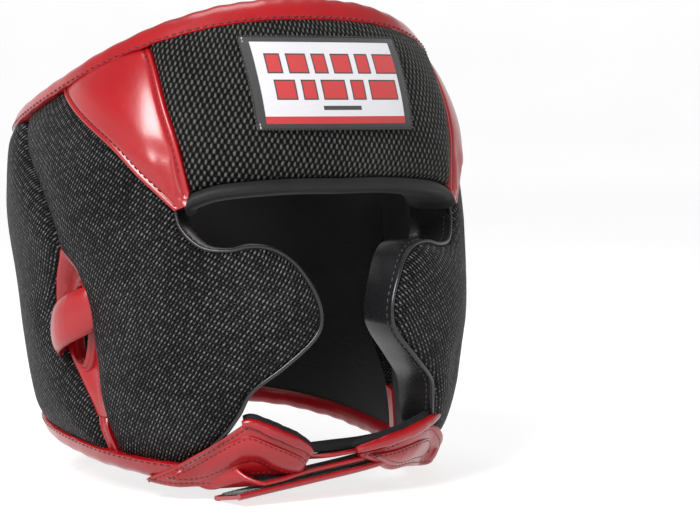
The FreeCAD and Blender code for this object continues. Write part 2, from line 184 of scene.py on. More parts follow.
class Look:
    """A material in the making."""

    def __init__(self, name):
        self.mat = bpy.data.materials.new(name)
        self.mat.use_nodes = True
        self.tree = self.mat.node_tree
        self.place = self.put("TexCoord", output="Object")

    def feed(self, node, inputs):
        for key, value in inputs.items():
            if isinstance(value, Value):
                self.tree.links.new(value.socket, node.inputs[key])
            else:
                node.inputs[key].default_value = value

    def put(self, kind, inputs=(), output=0, **settings):
        """One output of a new node."""
        node = self.tree.nodes.new("ShaderNode" + kind)
        for key, value in settings.items():
            setattr(node, key, value)
        self.feed(node, dict(inputs))
        return Value(self, node.outputs[output])

    def calc(self, operation, *values):
        return self.put("Math", enumerate(values), operation=operation)

    def weave(self):
        """The piece's own flat coordinates, in mm."""
        return self.put("UVMap", uv_map="weave")

    def split(self, vector):
        first = self.put("SeparateXYZ", {0: vector})
        return first, Value(self, first.socket.node.outputs[1])

    def noise(self, scale, detail=3.0, rough=0.55):
        return self.put("TexNoise", {"Vector": self.place, "Scale": scale,
                                     "Detail": detail, "Roughness": rough})

    def remap(self, value, low, high, start=0.0, end=1.0, **settings):
        """Takes start to end of a value to low to high."""
        return self.put("MapRange", {0: value, 1: start, 2: end, 3: low, 4: high},
                        **settings)

    def ramp(self, value, stops):
        item = self.put("ValToRGB", {0: value})
        elements = item.socket.node.color_ramp.elements
        while len(elements) < len(stops):
            elements.new(0.5)
        for element, (at, colour) in zip(elements, stops):
            element.position = at
            element.color = (*colour, 1)
        return item

    def finish(self, colour, rough, height=None, strength=1.0, deep=0.0, **more):
        """Feeds the shader, with a bump deep metres high; more holds its other inputs."""
        if height is not None:
            more["Normal"] = self.put("Bump", {"Strength": strength, "Distance": deep,
                                               "Height": height})
        inputs = {key.replace("_", " "): value for key, value in more.items()}
        self.feed(self.tree.nodes["Principled BSDF"],
                  {"Base Color": colour, "Roughness": rough, **inputs})
        return self.mat


def dim(colour, share):
    return tuple(c * share for c in colour)


def spacer_mesh(name, pitch, row, thread, turn, crossed):
    """Knitted spacer mesh, sizes in mm: crossed threads round staggered holes, or
    upright loops standing in rows between straight threads; its colour paints a highlight
    on each loop and shade in the holes."""
    look = Look(name)
    along, down = look.split(look.put("VectorRotate", {"Vector": look.weave(),
                                                       "Angle": turn},
                                      rotation_type="Z_AXIS"))
    shake = (look.noise(160.0, 2.0) - 0.5) * 0.9
    columns, rows = (along + shake) / pitch, (down + shake) / row
    if crossed:
        columns = columns + look.calc("FLOOR", rows) % 2.0 * 0.5
    across, up = look.calc("FRACT", columns) - 0.5, look.calc("FRACT", rows) - 0.5
    cell = look.put("CombineXYZ", {0: look.calc("FLOOR", columns),
                                   1: look.calc("FLOOR", rows)})
    chance = look.put("TexWhiteNoise", {"Vector": cell})

    def spot(x, y, wide, high):
        """One at the middle of an ellipse, falling to nothing at its edge."""
        away = look.calc("SQRT", (x / wide) ** 2.0 + (y / high) ** 2.0)
        return look.calc("MAXIMUM", 1.0 - away, 0.0) ** 0.6

    if crossed:
        ground = 1.0 - spot(across, up, 0.42, 0.5)
        loops = spot(look.calc("ABSOLUTE", across) - 0.5, up, 0.26, 0.46)
    else:
        ground = look.remap(look.calc("ABSOLUTE", up), 0.0, 1.0, 0.30, 0.46,
                            interpolation_type="SMOOTHSTEP")
        loops = spot(across, up, 0.36, 0.46)
    ply = look.calc("SINE", (across * 1.4 + up) * 25.0) * 0.16
    fuzz = look.noise(1300.0, 3.0, 0.7)
    height = ground * (0.6 + ply) + (loops * 0.9 + fuzz * 0.4)
    # colour: the loops are painted lighter as a highlight, varied per cell; where ground falls
    # to nothing, in the holes, the colour goes dark as painted shade
    tone = (ground * 0.36 + loops * (0.55 + chance * 0.45) + (fuzz - 0.5) * 0.9
            + (look.noise(26.0) - 0.5) * 0.3)
    # the lowest stop is black, painted shade in the holes; the top stops are the painted loop
    # highlights
    shades = [(at, dim(thread, share))
              for at, share in ((0.1, 0.0), (0.36, 0.09), (0.6, 0.5), (0.85, 1.0))]
    return look.finish(look.ramp(tone, shades), look.remap(fuzz, 0.36, 0.6), height, 1.0,
                       0.0012, Specular_IOR_Level=0.08)


def leather(name, colour, rough, coat):
    """Smooth coated leather with a fine pebble, creases and slightly uneven gloss."""
    look = Look(name)
    cells = look.put("TexVoronoi", {"Vector": look.place, "Scale": 1250.0},
                     feature="SMOOTH_F1")
    fine, large = look.noise(420.0, 4.0, 0.6), look.noise(18.0, 2.0)
    height = cells * 0.5 + (fine * 0.7 + look.noise(70.0, 3.0, 0.5) * 2.6)
    shades = [(0.35, dim(colour, 0.84)), (0.65, dim(colour, 1.1))]
    gloss = look.remap(fine * 0.5 + large * 0.5, rough - 0.05, rough + 0.07, 0.3, 0.7)
    return look.finish(look.ramp(large * 0.7 + fine * 0.3, shades), gloss, height, 0.5,
                       0.00012, Specular_IOR_Level=0.3, Coat_Weight=coat,
                       Coat_Roughness=0.24)


def cloth(name, colour, rough, pitch, strength, sheen):
    """Close plain cloth: fine crossed threads, small fuzz and soft sheen."""
    look = Look(name)
    warp, weft = (look.calc("SINE", way * (2 * math.pi / pitch))
                  for way in look.split(look.weave()))
    fine, large = look.noise(1500.0), look.noise(35.0)
    height = look.calc("MAXIMUM", warp, weft) * 0.5 + fine
    shades = [(0.35, dim(colour, 0.7)), (0.65, dim(colour, 1.25))]
    gloss = look.remap(large, rough - 0.06, rough + 0.06, 0.3, 0.7)
    return look.finish(look.ramp(fine * 0.5 + large * 0.5, shades), gloss, height,
                       strength, 0.0003, Specular_IOR_Level=0.15, Sheen_Weight=sheen,
                       Sheen_Roughness=0.5)


def fastener(name, colour, scale, pointed):
    """Hook or loop tape: close spikes or tangled pile, the low parts between them painted
    darker as shade.
    """
    look = Look(name)
    cells = look.put("TexVoronoi", {"Vector": look.place, "Scale": scale}, feature="F1")
    fine = look.noise(scale * 1.4, 4.0, 0.7)
    height = (1.0 - cells) * pointed + fine * (1.0 - 0.5 * pointed)
    # colour follows the height: a quarter as bright in the low parts, painted shade between the
    # hooks or pile
    shades = [(0.3, dim(colour, 0.25)), (0.9, colour)]
    return look.finish(look.ramp(height, shades), look.remap(fine, 0.4, 0.75), height,
                       1.0, 0.0009, Sheen_Weight=0.3)


def ribbed(name, colour, pitch):
    """Woven elastic: close ribs along it, small picks across them, the grooves painted darker
    as shade.
    """
    look = Look(name)
    along, across = look.split(look.weave())
    ribs = look.calc("ABSOLUTE", look.calc("SINE", across * (math.pi / pitch)))
    picks = look.calc("SINE", along * (2 * math.pi / (pitch * 0.7)))
    fine = look.noise(1800.0)
    height = ribs + picks * 0.2 + fine * 0.3
    # colour follows the height: the grooves between the ribs are painted darker as shade
    shades = [(0.2, dim(colour, 0.4)), (1.0, colour)]
    return look.finish(look.ramp(height, shades), look.remap(fine, 0.5, 0.7), height,
                       0.8, 0.0006)


def thread(name, colour):
    """Twisted sewing thread."""
    look = Look(name)
    fine = look.noise(2400.0, 2.0)
    shades = [(0.3, dim(colour, 0.7)), (0.7, colour)]
    return look.finish(look.ramp(fine, shades), look.remap(fine, 0.35, 0.55), fine, 0.6,
                       0.0002)


RED = (0.26, 0.002, 0.005)
M = {
    "side_mesh": spacer_mesh("mesh_side", 1.75, 2.65, (0.16, 0.153, 0.157), 0.52, False),
    "brow_mesh": spacer_mesh("mesh_forehead", 3.1, 2.7, (0.14, 0.138, 0.132), 0.1, True),
    "red": leather("leather_red", RED, 0.32, 0.6),
    # a darker copy of the red leather: painted shade for the seam under the ear loop
    "red_painted_shade": leather("leather_red_painted_shade", (0.2, 0.002, 0.004), 0.34, 0.3),
    "gloss": leather("leather_black", (0.010, 0.010, 0.011), 0.27, 0.4),
    "lining": cloth("lining_black", (0.008, 0.008, 0.009), 0.62, 0.9, 0.25, 0.03),
    "brow": cloth("lining_smooth", (0.012, 0.012, 0.013), 0.5, 0.7, 0.2, 0.04),
    "hook": fastener("hook_black", (0.05, 0.05, 0.05), 900.0, 1.0),
    "loop": fastener("loop_black", (0.035, 0.035, 0.036), 700.0, 0.4),
    "elastic": ribbed("elastic_black", (0.03, 0.03, 0.031), 1.6),
    "red_thread": thread("thread_red", (0.09, 0.001, 0.002)),
    "black_thread": thread("thread_black", (0.02, 0.02, 0.02)),
    "pale_thread": thread("thread_pale", (0.55, 0.47, 0.4)),
}


# ---------------------------------------------------------------- pieces
def piece(name, points, faces, uvs, mats, slots=None, nodes=(), body=HEAD, slot=None,
          pad=None):
    """A piece in metres from points in mm, riding on a body of the frame."""
    points = np.asarray(points, float)
    fan = np.array([(f[0], f[k], f[k + 1]) for f in faces for k in range(1, len(f) - 1)])
    a, b, c = (points[fan[:, k]] for k in range(3))
    if np.einsum("ij,ij->i", a, np.cross(b, c)).sum() < 0:
        faces = [tuple(f)[::-1] for f in faces]
    mesh = bpy.data.meshes.new(name)
    mesh.from_pydata([tuple(p) for p in points * MM], [], faces)
    layer = mesh.uv_layers.new(name="weave")
    loops = np.empty(len(mesh.loops), np.int32)
    mesh.loops.foreach_get("vertex_index", loops)
    layer.data.foreach_set("uv", np.asarray(uvs, np.float32)[loops].ravel())
    for mat in mats:
        mesh.materials.append(M[mat])
    if slots is not None:
        mesh.polygons.foreach_set("material_index", np.asarray(slots, np.int32))
    mesh.polygons.foreach_set("use_smooth", [True] * len(mesh.polygons))
    mesh.set_sharp_from_angle(angle=math.radians(48))
    mesh.update()
    item = bpy.data.objects.new(name, mesh)
    bpy.context.scene.collection.objects.link(item)
    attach(item, body)
    if nodes:
        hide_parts(*nodes)
    return item


def distance(points, line):
    """Shortest distance from each flat point to an open run."""
    a, b = line[:-1], line[1:]
    d = b - a
    t = ((points[:, None] - a) * d).sum(-1) / np.maximum((d * d).sum(-1), 1e-9)
    near = a + np.clip(t, 0, 1)[..., None] * d
    return np.linalg.norm(points[:, None] - near, axis=-1).min(1)


def closed(loop):
    return np.vstack([loop, loop[:1]])


def within(points, loop):
    x, y = points[:, 0, None], points[:, 1, None]
    a, b = loop, np.roll(loop, -1, 0)
    up = (a[:, 1] > y) != (b[:, 1] > y)
    with np.errstate(divide="ignore", invalid="ignore"):
        cross = (b[:, 0] - a[:, 0]) * (y - a[:, 1]) / (b[:, 1] - a[:, 1]) + a[:, 0]
    return (up & (x < cross)).sum(1) % 2 == 1


def area_of(loop):
    x, y = loop[:, 0], loop[:, 1]
    return 0.5 * float((x * np.roll(y, -1) - np.roll(x, -1) * y).sum())


def leftward(run, looped=False):
    """Unit directions to the left of each point of a flat run."""
    if looped:
        ahead = np.roll(run, -1, 0) - np.roll(run, 1, 0)
    else:
        ahead = np.gradient(run, axis=0)
    ahead /= np.maximum(np.linalg.norm(ahead, axis=1), 1e-9)[:, None]
    return np.stack([-ahead[:, 1], ahead[:, 0]], 1)


def tidy_loop(runs, step, inset=0.15):
    """One anticlockwise loop of evenly divided points from runs laid end to end."""
    loop = resample(np.vstack(list(runs) + [runs[0][:1]]), step)[:-1]
    if area_of(loop) < 0:
        loop = loop[::-1]
    return loop + inset * leftward(loop, True)


def filled(loop, step, rings, holes=()):
    """Flat points and triangles filling a loop, finer beside its edge."""
    inward = leftward(loop, True)
    edge = closed(loop)
    layers = [loop]
    for ring in rings:
        at = loop + inward * ring
        keep = within(at, loop) & (distance(at, edge) > 0.93 * ring)
        layers.append(at[keep])
    low, high = loop.min(0), loop.max(0)
    grid = []
    for number, v in enumerate(np.arange(low[1], high[1], step * 0.866)):
        across = np.arange(low[0] + (number % 2) * step / 2, high[0], step)
        grid.append(np.stack([across, np.full(len(across), v)], 1))
    grid = np.vstack(grid)
    grid = grid[within(grid, loop)]
    grid = grid[distance(grid, edge) > rings[-1] + 0.55 * step]
    for hole in holes:
        out = ~within(grid, hole) & (distance(grid, closed(hole)) > 0.6 * step)
        grid = grid[out]
        layers[1:] = [part[~within(part, hole) & (distance(part, closed(hole)) > 0.8)]
                      for part in layers[1:]]
    points = np.vstack(layers + [grid] + list(holes))
    count = len(loop)
    edges = [(i, (i + 1) % count) for i in range(count)]
    start = len(points) - sum(len(h) for h in holes)
    for hole in holes:
        size = len(hole)
        edges += [(start + i, start + (i + 1) % size) for i in range(size)]
        start += size
    made = delaunay_2d_cdt([Vector(p) for p in points.tolist()], edges, [], 0, 1e-5)
    flat = np.array([tuple(v) for v in made[0]])
    faces = np.array([f for f in made[2] if len(f) == 3])
    middle = flat[faces].mean(1)
    keep = within(middle, loop)
    for hole in holes:
        keep &= ~within(middle, hole)
    faces = faces[keep]
    a, b, c = (flat[faces[:, k]] for k in range(3))
    turn = (b - a)[:, 0] * (c - a)[:, 1] - (b - a)[:, 1] * (c - a)[:, 0]
    faces[turn < 0] = faces[turn < 0][:, ::-1]
    return flat, faces[np.abs(turn) > 1e-6]


def rims_of(faces):
    """The open edges of a triangulation, in the direction its faces run."""
    edges = np.vstack([faces[:, [0, 1]], faces[:, [1, 2]], faces[:, [2, 0]]])
    known = {tuple(e) for e in edges.tolist()}
    return [e for e in known if (e[1], e[0]) not in known]


def slab(name, loop, top, low, place, mats, step=3.0, rings=(0.7, 1.8, 3.2, 5.0),
         holes=(), swell=0.0, **kw):
    """A closed pad: top(flat, flat distance) and low(flat) heights over an outline."""
    flat, faces = filled(loop, step, rings, holes)
    away = distance(flat, closed(loop))
    for hole in holes:
        away = np.minimum(away, distance(flat, closed(hole)))
    high, base = top(flat, away), low(flat, away)
    used = np.unique(faces)
    fresh = np.full(len(flat), -1)
    fresh[used] = np.arange(len(used))
    flat, high, base, away = flat[used], high[used], base[used], away[used]
    faces = fresh[faces]
    points = [place(flat, high), place(flat, base)]
    count = len(flat)
    out = [tuple(f) for f in faces.tolist()]
    out += [tuple(f) for f in (faces[:, ::-1] + count).tolist()]
    uvs = [flat, flat]
    rim = rims_of(faces)
    ends = sorted({i for e in rim for i in e})
    rows = [{i: i for i in ends}]
    total = 2 * count
    for share in (0.3, 0.65):
        at = flat[ends]
        level_ = high[ends] * (1 - share) + base[ends] * share
        points.append(place(at, level_))
        uvs.append(at + np.stack([np.zeros(len(at)), -(high[ends] - level_)], 1))
        rows.append({i: total + k for k, i in enumerate(ends)})
        total += len(ends)
    rows.append({i: i + count for i in ends})
    for a, b in rim:
        for upper, lower in zip(rows, rows[1:]):
            out.append((upper[b], upper[a], lower[a], lower[b]))
    points, uvs = np.vstack(points), np.vstack(uvs)
    if swell:
        free = np.zeros(len(points))
        free[:count] = np.clip((away - 2.0) / 10.0, 0, 1)
        points = swollen(points, out, free, swell)
    return piece(name, points, out, uvs, mats, **kw)


def swollen(points, faces, free, cap):
    """Lets cloth under light inner pressure push the free part out, at most cap mm."""
    mesh = bpy.data.meshes.new("swelling")
    mesh.from_pydata([tuple(p) for p in points * MM], [], faces)
    item = bpy.data.objects.new("swelling", mesh)
    scene = bpy.context.scene
    scene.collection.objects.link(item)
    pins = item.vertex_groups.new(name="pins")
    for share in range(11):
        picked = np.nonzero(np.round((1 - free) * 10) == share)[0].tolist()
        if picked:
            pins.add(picked, share / 10, "REPLACE")
    press = item.modifiers.new("press", "CLOTH")
    setting = press.settings
    setting.quality = 5
    setting.mass = 0.3
    setting.tension_stiffness = setting.compression_stiffness = 25.0
    setting.shear_stiffness = 8.0
    setting.bending_stiffness = 2.0
    setting.use_pressure = True
    setting.uniform_pressure_force = 4.0
    setting.vertex_group_mass = "pins"
    setting.effector_weights.gravity = 0.0
    press.collision_settings.use_self_collision = False
    press.point_cache.frame_start, press.point_cache.frame_end = 1, 20
    for step in range(1, 21):
        scene.frame_set(step)
    cooked = item.evaluated_get(bpy.context.evaluated_depsgraph_get()).to_mesh()
    moved = np.empty(len(points) * 3)
    cooked.vertices.foreach_get("co", moved)
    moved = moved.reshape(-1, 3) / MM - points
    scene.frame_set(1)
    bpy.data.objects.remove(item)
    bpy.data.meshes.remove(mesh)
    size = np.linalg.norm(moved, axis=1)
    moved *= (np.minimum(size, cap) / np.maximum(size, 1e-9))[:, None]
    return points + moved * free[:, None]


def on_shell(side):
    """Places flat points on the shell; side -1 is the wearer's right, 1 the left."""
    def place(flat, out):
        spot = shell(flat[:, 0] / ROUND, flat[:, 1], out)
        spot[:, 0] *= -side
        return spot
    return place


def grid_piece(name, rows, mats, looped=False, slots=None, **kw):
    """A closed skin over rings of points; looped joins the last ring to the first."""
    rows = np.asarray(rows, float)
    lines, count = rows.shape[:2]
    at = lambda i, j: (i % lines) * count + j % count
    cells = [(i, j) for i in range(lines if looped else lines - 1) for j in range(count)]
    faces = [(at(i, j), at(i, j + 1), at(i + 1, j + 1), at(i + 1, j)) for i, j in cells]
    across = np.r_[0, np.cumsum(np.linalg.norm(np.diff(rows[lines // 2], axis=0), axis=1))]
    lengths = np.linalg.norm(np.diff(rows.mean(1), axis=0), axis=1)
    down = np.r_[0, np.cumsum(lengths)]
    uvs = np.stack(np.meshgrid(down, across, indexing="ij"), -1).reshape(-1, 2)
    marks = None if slots is None else [slots(i, j) for i, j in cells]
    if not looped:
        faces += [tuple(range(count - 1, -1, -1)),
                  tuple(range((lines - 1) * count, lines * count))]
        if marks is not None:
            marks += [1, 1]
    return piece(name, rows.reshape(-1, 3), faces, uvs, mats, marks, **kw)


def tube_rows(path, radius, sides=10):
    """Rings of points round a path."""
    path = np.asarray(path, float)
    tangent = np.gradient(path, axis=0)
    tangent /= np.linalg.norm(tangent, axis=1)[:, None]
    up = np.array([0, 0, 1.0])
    if np.abs(tangent @ up).max() > 0.95:
        up = np.array([0, 1.0, 0])
    side = np.cross(tangent, np.broadcast_to(up, path.shape))
    side /= np.maximum(np.linalg.norm(side, axis=1), 1e-9)[:, None]
    turn = np.linspace(0, 2 * math.pi, sides, endpoint=False)
    radius = np.broadcast_to(radius, len(path))
    return [p + r * (np.cos(turn)[:, None] * s + np.sin(turn)[:, None] * n)
            for p, s, n, r in zip(path, side, np.cross(side, tangent), radius)]


def stitches(name, path, normals, mat, length=2.9, gap=1.3, thick=0.36, slant=0.0, **kw):
    """A row of sewn stitches along a path in space."""
    path, normals = np.asarray(path, float), np.asarray(normals, float)
    run = np.r_[0, np.cumsum(np.linalg.norm(np.diff(path, axis=0), axis=1))]
    starts = np.arange(gap, run[-1] - length, length + gap)
    points, faces, uvs = [], [], []
    sides = 6
    for start in starts:
        at = start + length * np.array([0, 0.08, 0.35, 0.65, 0.92, 1.0])
        size = thick * np.array([0.25, 0.75, 1.0, 1.0, 0.75, 0.25])
        lift = thick * np.array([-0.9, -0.1, 0.35, 0.35, -0.1, -0.9]) - 0.1
        mid, nor = (np.stack([np.interp(at, run, line[:, k]) for k in range(3)], 1)
                    for line in (path, normals))
        nor /= np.linalg.norm(nor, axis=1)[:, None]
        tangent = mid[-1] - mid[0]
        tangent /= np.linalg.norm(tangent)
        first = len(points)
        for k in range(6):
            side = np.cross(tangent, nor[k])
            centre = mid[k] + nor[k] * lift[k] + side * slant * (k / 5 - 0.5)
            for j in range(sides):
                a = 2 * math.pi * j / sides
                points.append(centre + size[k] * (math.cos(a) * side + math.sin(a) * nor[k]))
                uvs.append((at[k], a))
        for k in range(5):
            for j in range(sides):
                n = (j + 1) % sides
                faces.append((first + k * sides + j, first + k * sides + n,
                              first + (k + 1) * sides + n, first + (k + 1) * sides + j))
        faces.append(tuple(first + j for j in range(sides - 1, -1, -1)))
        faces.append(tuple(first + 5 * sides + j for j in range(sides)))
    return piece(name, points, faces, uvs, [mat], **kw)


def shell_row(name, flat, out, mat, side, **kw):
    """Stitches along flat points of the shell."""
    place = on_shell(side)
    out = np.zeros(len(flat)) + out
    path = place(flat, out)
    normals = path - place(flat, out - 1.0)
    return stitches(name, path, normals, mat, **kw)


def moved_in(run, amount):
    """A flat run moved to its left."""
    return run + amount * leftward(run)


# ---------------------------------------------------------------- outlines on the shell
def from_right(points):
    return [(-y, z) for y, z in points]


BROW = turned([(-76, 20), (-62, 24.5), (-30, 27), (0, 27), (30, 27), (62, 24.5), (76, 20)], 0)
FACE = turned([(-67, 14), (-65, 3), (-56, -6.5), (-43, -8), (-33, -6), (-21, -7.5),
               (-10, -15), (-1, -29), (2, -41), (-2, -51), (-18, -65), (-33, -77),
               (-39, -90), (-48, -104), (-66, -129)], -10)
WEDGE_LOW = turned([(25, 11), (6.6, 26), (-20, 47), (-66, 76), (-90, 92)], -55)
FORE_SIDE = turned(smooth([(-76, 20), (-80, 46), (-82, 64), (-81.5, 85), (-81, 101)], 8), 0)
GROOVE = turned(from_right([(-8, -11), (-2, 2), (13, 20), (34, 39), (48, 75)]), -90)
SLIT_REAR = turned(from_right([(-8, -11), (2, -30), (4, -50), (-8, -67), (-24, -84),
                               (-33, -101), (-38, -135)]), -90)
SLIT_FRONT = turned(from_right([(-8, -11), (-25, -22), (-34, -42), (-36.5, -66),
                                (-38, -90), (-46, -135)]), -90)
brow = smooth(BROW)
face = until(smooth(FACE), JAW, False)
wedge_low = until(smooth(WEDGE_LOW), RIM, True)
fore_side = until(smooth(FORE_SIDE), RIM, True)
groove = until(smooth(GROOVE), RIM, True)
slit_rear = until(smooth(SLIT_REAR), JAW, False)
slit_front = until(smooth(SLIT_FRONT), JAW, False)
GAP = 22.0


def gap_phi(z):
    """Angle at which the shell's rear is GAP mm to the right of the middle."""
    phi = -math.pi + np.full(len(z), 0.2)
    for _ in range(40):
        phi = phi + (shell(phi, z)[:, 0] + GAP) / 100.0
    return phi


def edge_between(circle, a, b):
    """Flat points of the rim or the jaw line between two flat distances."""
    steps = max(2, int(abs(b - a) / 2.5))
    return on_edge(circle, np.linspace(a, b, steps) / ROUND)


def drop(away, dip, radius):
    """How far a rounded pad edge has fallen at a distance from its border."""
    t = 1 - np.clip(away / radius, 0, 1)
    return dip * (1 - np.sqrt(np.clip(1 - t * t, 0, 1)))


def uneven(flat, amount, scale, seed=0.0):
    """Low, smooth unevenness of a stuffed pad."""
    s, z = flat[:, 0] / scale + seed, flat[:, 1] / scale - seed
    return amount * (np.sin(1.3 * s + 0.7 * z) + np.sin(0.6 * s - 1.7 * z + 1.0)
                     + np.sin(2.3 * s + 1.9 * z + 2.0) * 0.5) / 2.5


def pad_top(base, edges, crown, seed):
    """Height over a pad: rounded down at each border, gently crowned between."""
    def top(flat, away):
        fall = np.zeros(len(flat))
        for run, dip, radius in edges:
            fall = np.maximum(fall, drop(distance(flat, run), dip, radius))
        rise = crown * (1 - np.exp(-away / 26.0))
        soft = np.clip(away / 14.0, 0, 1)
        return base - fall + rise + uneven(flat, 0.5, 17.0, seed) * soft
    return top


def inside_of(extra):
    """Height of the shell's inner side, extra mm further out than the cavity."""
    return lambda flat, away: -level(flat[:, 1], 4) + extra


def lining_low(flat, away):
    """Inner face of a lining: it crowns gently into the cavity."""
    return -level(flat[:, 1], 4) + 1.3 - 1.2 * (1 - np.exp(-away / 9.0))


def lining(part, loop, place, near=""):
    """The inner layer of a pad, with its free side in the cavity."""
    slab(part + "_inner" + near, loop, inside_of(1.6), lining_low, place, ["lining"],
         step=4.0, rings=(1.5, 4.0), nodes=[part + "_lining" + near],
         slot="lining_black", pad=0.5)


def padding(part, loop, top, mesh, place, near="", pad=0.75):
    """A pad, cover and foam in one, and its lining."""
    slab(part + "_pad" + near, loop, top, inside_of(1.8), place, [mesh],
         nodes=[part + "_cover" + near, part + "_foam" + near], slot="mesh_black",
         pad=pad, swell=SWELL)
    lining(part, loop, place, near)


def rounded(turn, roundness):
    """Cosine and sine of a squared circle."""
    return tuple(np.sign(way) * np.abs(way) ** share
                 for way, share in zip((np.cos(turn), np.sin(turn)), roundness))


# ---------------------------------------------------------------- forehead
side_l = fore_side * [-1, 1]
fore_rim = edge_between(RIM, fore_side[-1, 0], side_l[-1, 0])
fore_loop = tidy_loop([brow, side_l, fore_rim[::-1], fore_side[::-1]], 2.6)
centre = on_shell(-1)
fore_top = pad_top(1.4, [(brow, 5.0, 13), (fore_side, 5.0, 12), (side_l, 5.0, 12),
                         (fore_rim, 4.5, 10)], 2.2, 0.3)
padding("forehead", fore_loop, fore_top, "brow_mesh", centre)

# the rolled lining along the brow, over the eyes
brow_wide = smooth(np.vstack([brow[0] + [-1.5, -3], brow, brow[-1] + [1.5, -3]]))
turns = np.linspace(0, 2 * math.pi, 28, endpoint=False)
rows = []
for s, z in brow_wide:
    half = (float(level(z, 4)) + 1.0) / 2
    out, up = rounded(turns, (2 / 2.6, 2 / 2.6))
    rows.append(shell(s / ROUND, z - 3.9 + 4.5 * up, 0.4 - half + half * out))
grid_piece("brow_edge", rows, ["brow"], nodes=["brow_roll"], slot="lining_black", pad=0.6)

# ---------------------------------------------------------------- right and left pads
face_in = moved_in(face, -0.9)
rim_side_run = edge_between(RIM, groove[-1, 0], wedge_low[-1, 0])
jaw_side_run = edge_between(JAW, slit_front[-1, 0], face[-1, 0])
rim_rear_run = edge_between(RIM, groove[-1, 0], -math.pi * ROUND + 24.0)
jaw_rear_run = edge_between(JAW, slit_rear[-1, 0], -math.pi * ROUND + 24.0)
gap_run = resample(np.array([rim_rear_run[-1], jaw_rear_run[-1]]))
gap_run[:, 0] = gap_phi(gap_run[:, 1]) * ROUND
rim_rear_run[-1], jaw_rear_run[-1] = gap_run[0], gap_run[-1]
wedge_rim = edge_between(RIM, wedge_low[-1, 0], fore_side[-1, 0])
side_loop = tidy_loop([face_in, jaw_side_run[::-1], slit_front[::-1], groove,
                       rim_side_run, wedge_low[::-1]], 2.6)
rear_loop = tidy_loop([groove, rim_rear_run, gap_run, jaw_rear_run[::-1],
                       slit_rear[::-1]], 2.8)
wedge_loop = tidy_loop([wedge_low, wedge_rim, fore_side[::-1],
                        np.array([fore_side[0], fore_side[0] + [-1.2, -6.5]])], 1.6, 0.3)


def wedge_top(flat, away):
    """Turned edges with a stitch line inside them, padded between, creased at the tip."""
    seam = np.minimum(distance(flat, wedge_low), distance(flat, fore_side))
    tip = np.linalg.norm(flat - wedge_low[0], axis=1)
    rise = (-1.4 + 1.2 * (1 - np.exp(-seam / 0.5))
            - 0.75 * np.exp(-((seam - 2.7) / 0.75) ** 2)
            + 2.2 * (1 - np.exp(-np.clip(seam - 3.0, 0, None) / 8.0))
            - 2.2 * np.exp(-distance(flat, wedge_rim) / 5.0))
    folds = (np.sin(np.arctan2(flat[:, 1] - wedge_low[0, 1],
                               flat[:, 0] - wedge_low[0, 0]) * 13.0)
             * 0.7 * np.exp(-((tip - 17.0) / 10.0) ** 2)
             + 0.5 * np.sin(flat[:, 1] / 3.1 + flat[:, 0] / 6.0)
             * np.exp(-((tip - 26.0) / 9.0) ** 2))
    return rise + folds * np.clip((seam - 3.5) / 4.0, 0, 1)


for side, near in SIDES:
    place = on_shell(side)
    side_top = pad_top(-2.2, [(face_in, 3.6, 8), (jaw_side_run, 4.5, 15),
                              (slit_front, 4.5, 13), (groove, 6.0, 15),
                              (rim_side_run, 2.6, 9), (wedge_low, 2.0, 8)], 2.4, 1.1 + side)
    padding("side", side_loop, side_top, "side_mesh", place, near)
    rear_top = pad_top(1.0, [(groove, 7.0, 16), (slit_rear, 7.0, 22),
                             (jaw_rear_run, 5.5, 14), (rim_rear_run, 5.0, 11),
                             (gap_run, 4.5, 9)], 2.2, 2.1 + side)
    padding("rear", rear_loop, rear_top, "side_mesh", place, near, 0.8)
    slab("temple_panel" + near, wedge_loop, wedge_top, inside_of(1.8), place, ["red"],
         step=2.2, rings=(0.5, 1.1, 1.8, 2.6, 3.4, 4.4, 6.0),
         nodes=["temple_wedge" + near, "temple_foam" + near], slot="leather_red", pad=0.5)
    lining("temple", wedge_loop, place, near)
    for number, run in enumerate((wedge_low, fore_side)):
        inner = moved_in(run[2:-1], 2.7)
        if not within(inner[len(inner) // 2:len(inner) // 2 + 1], wedge_loop)[0]:
            inner = moved_in(run[2:-1], -2.7)
        shell_row("temple_stitch_%d%s" % (number, near), inner[2:], -0.75, "red_thread",
                  side, length=2.4, gap=1.0, thick=0.33)

    # glossy band around the face opening and the piping along its outer corner
    path = face[1:]
    outward = leftward(path)
    shares = np.array([0.0, 0.1, 0.25, 0.42, 0.6, 0.78, 0.9, 1.0])
    rows = []
    for spot, way in zip(path, outward):
        thick = float(level(spot[1], 4)) - 5.6
        belly = 0.1 + 0.8 * np.sin(math.pi * shares) ** 0.8
        flat = np.vstack([spot + way * (b - 0.2) for b in belly]
                         + [spot - way * 1.6 for _ in shares])
        depth = np.r_[-5.0 - thick * shares, (-5.0 - thick * shares)[::-1]]
        rows.append(place(flat, depth))
    grid_piece("face_band" + near, rows, ["gloss"], nodes=["cheek_gusset" + near],
               slot="leather_black")
    grid_piece("face_piping" + near, tube_rows(place(path - outward * 0.1, -5.2), 1.15),
               ["gloss"], nodes=["cheek_piping" + near], slot="leather_black")
    shell_row("band_stitch" + near, (path + outward * 0.5)[2:-2], -8.2, "black_thread",
              side, length=2.6, gap=1.2, thick=0.34)


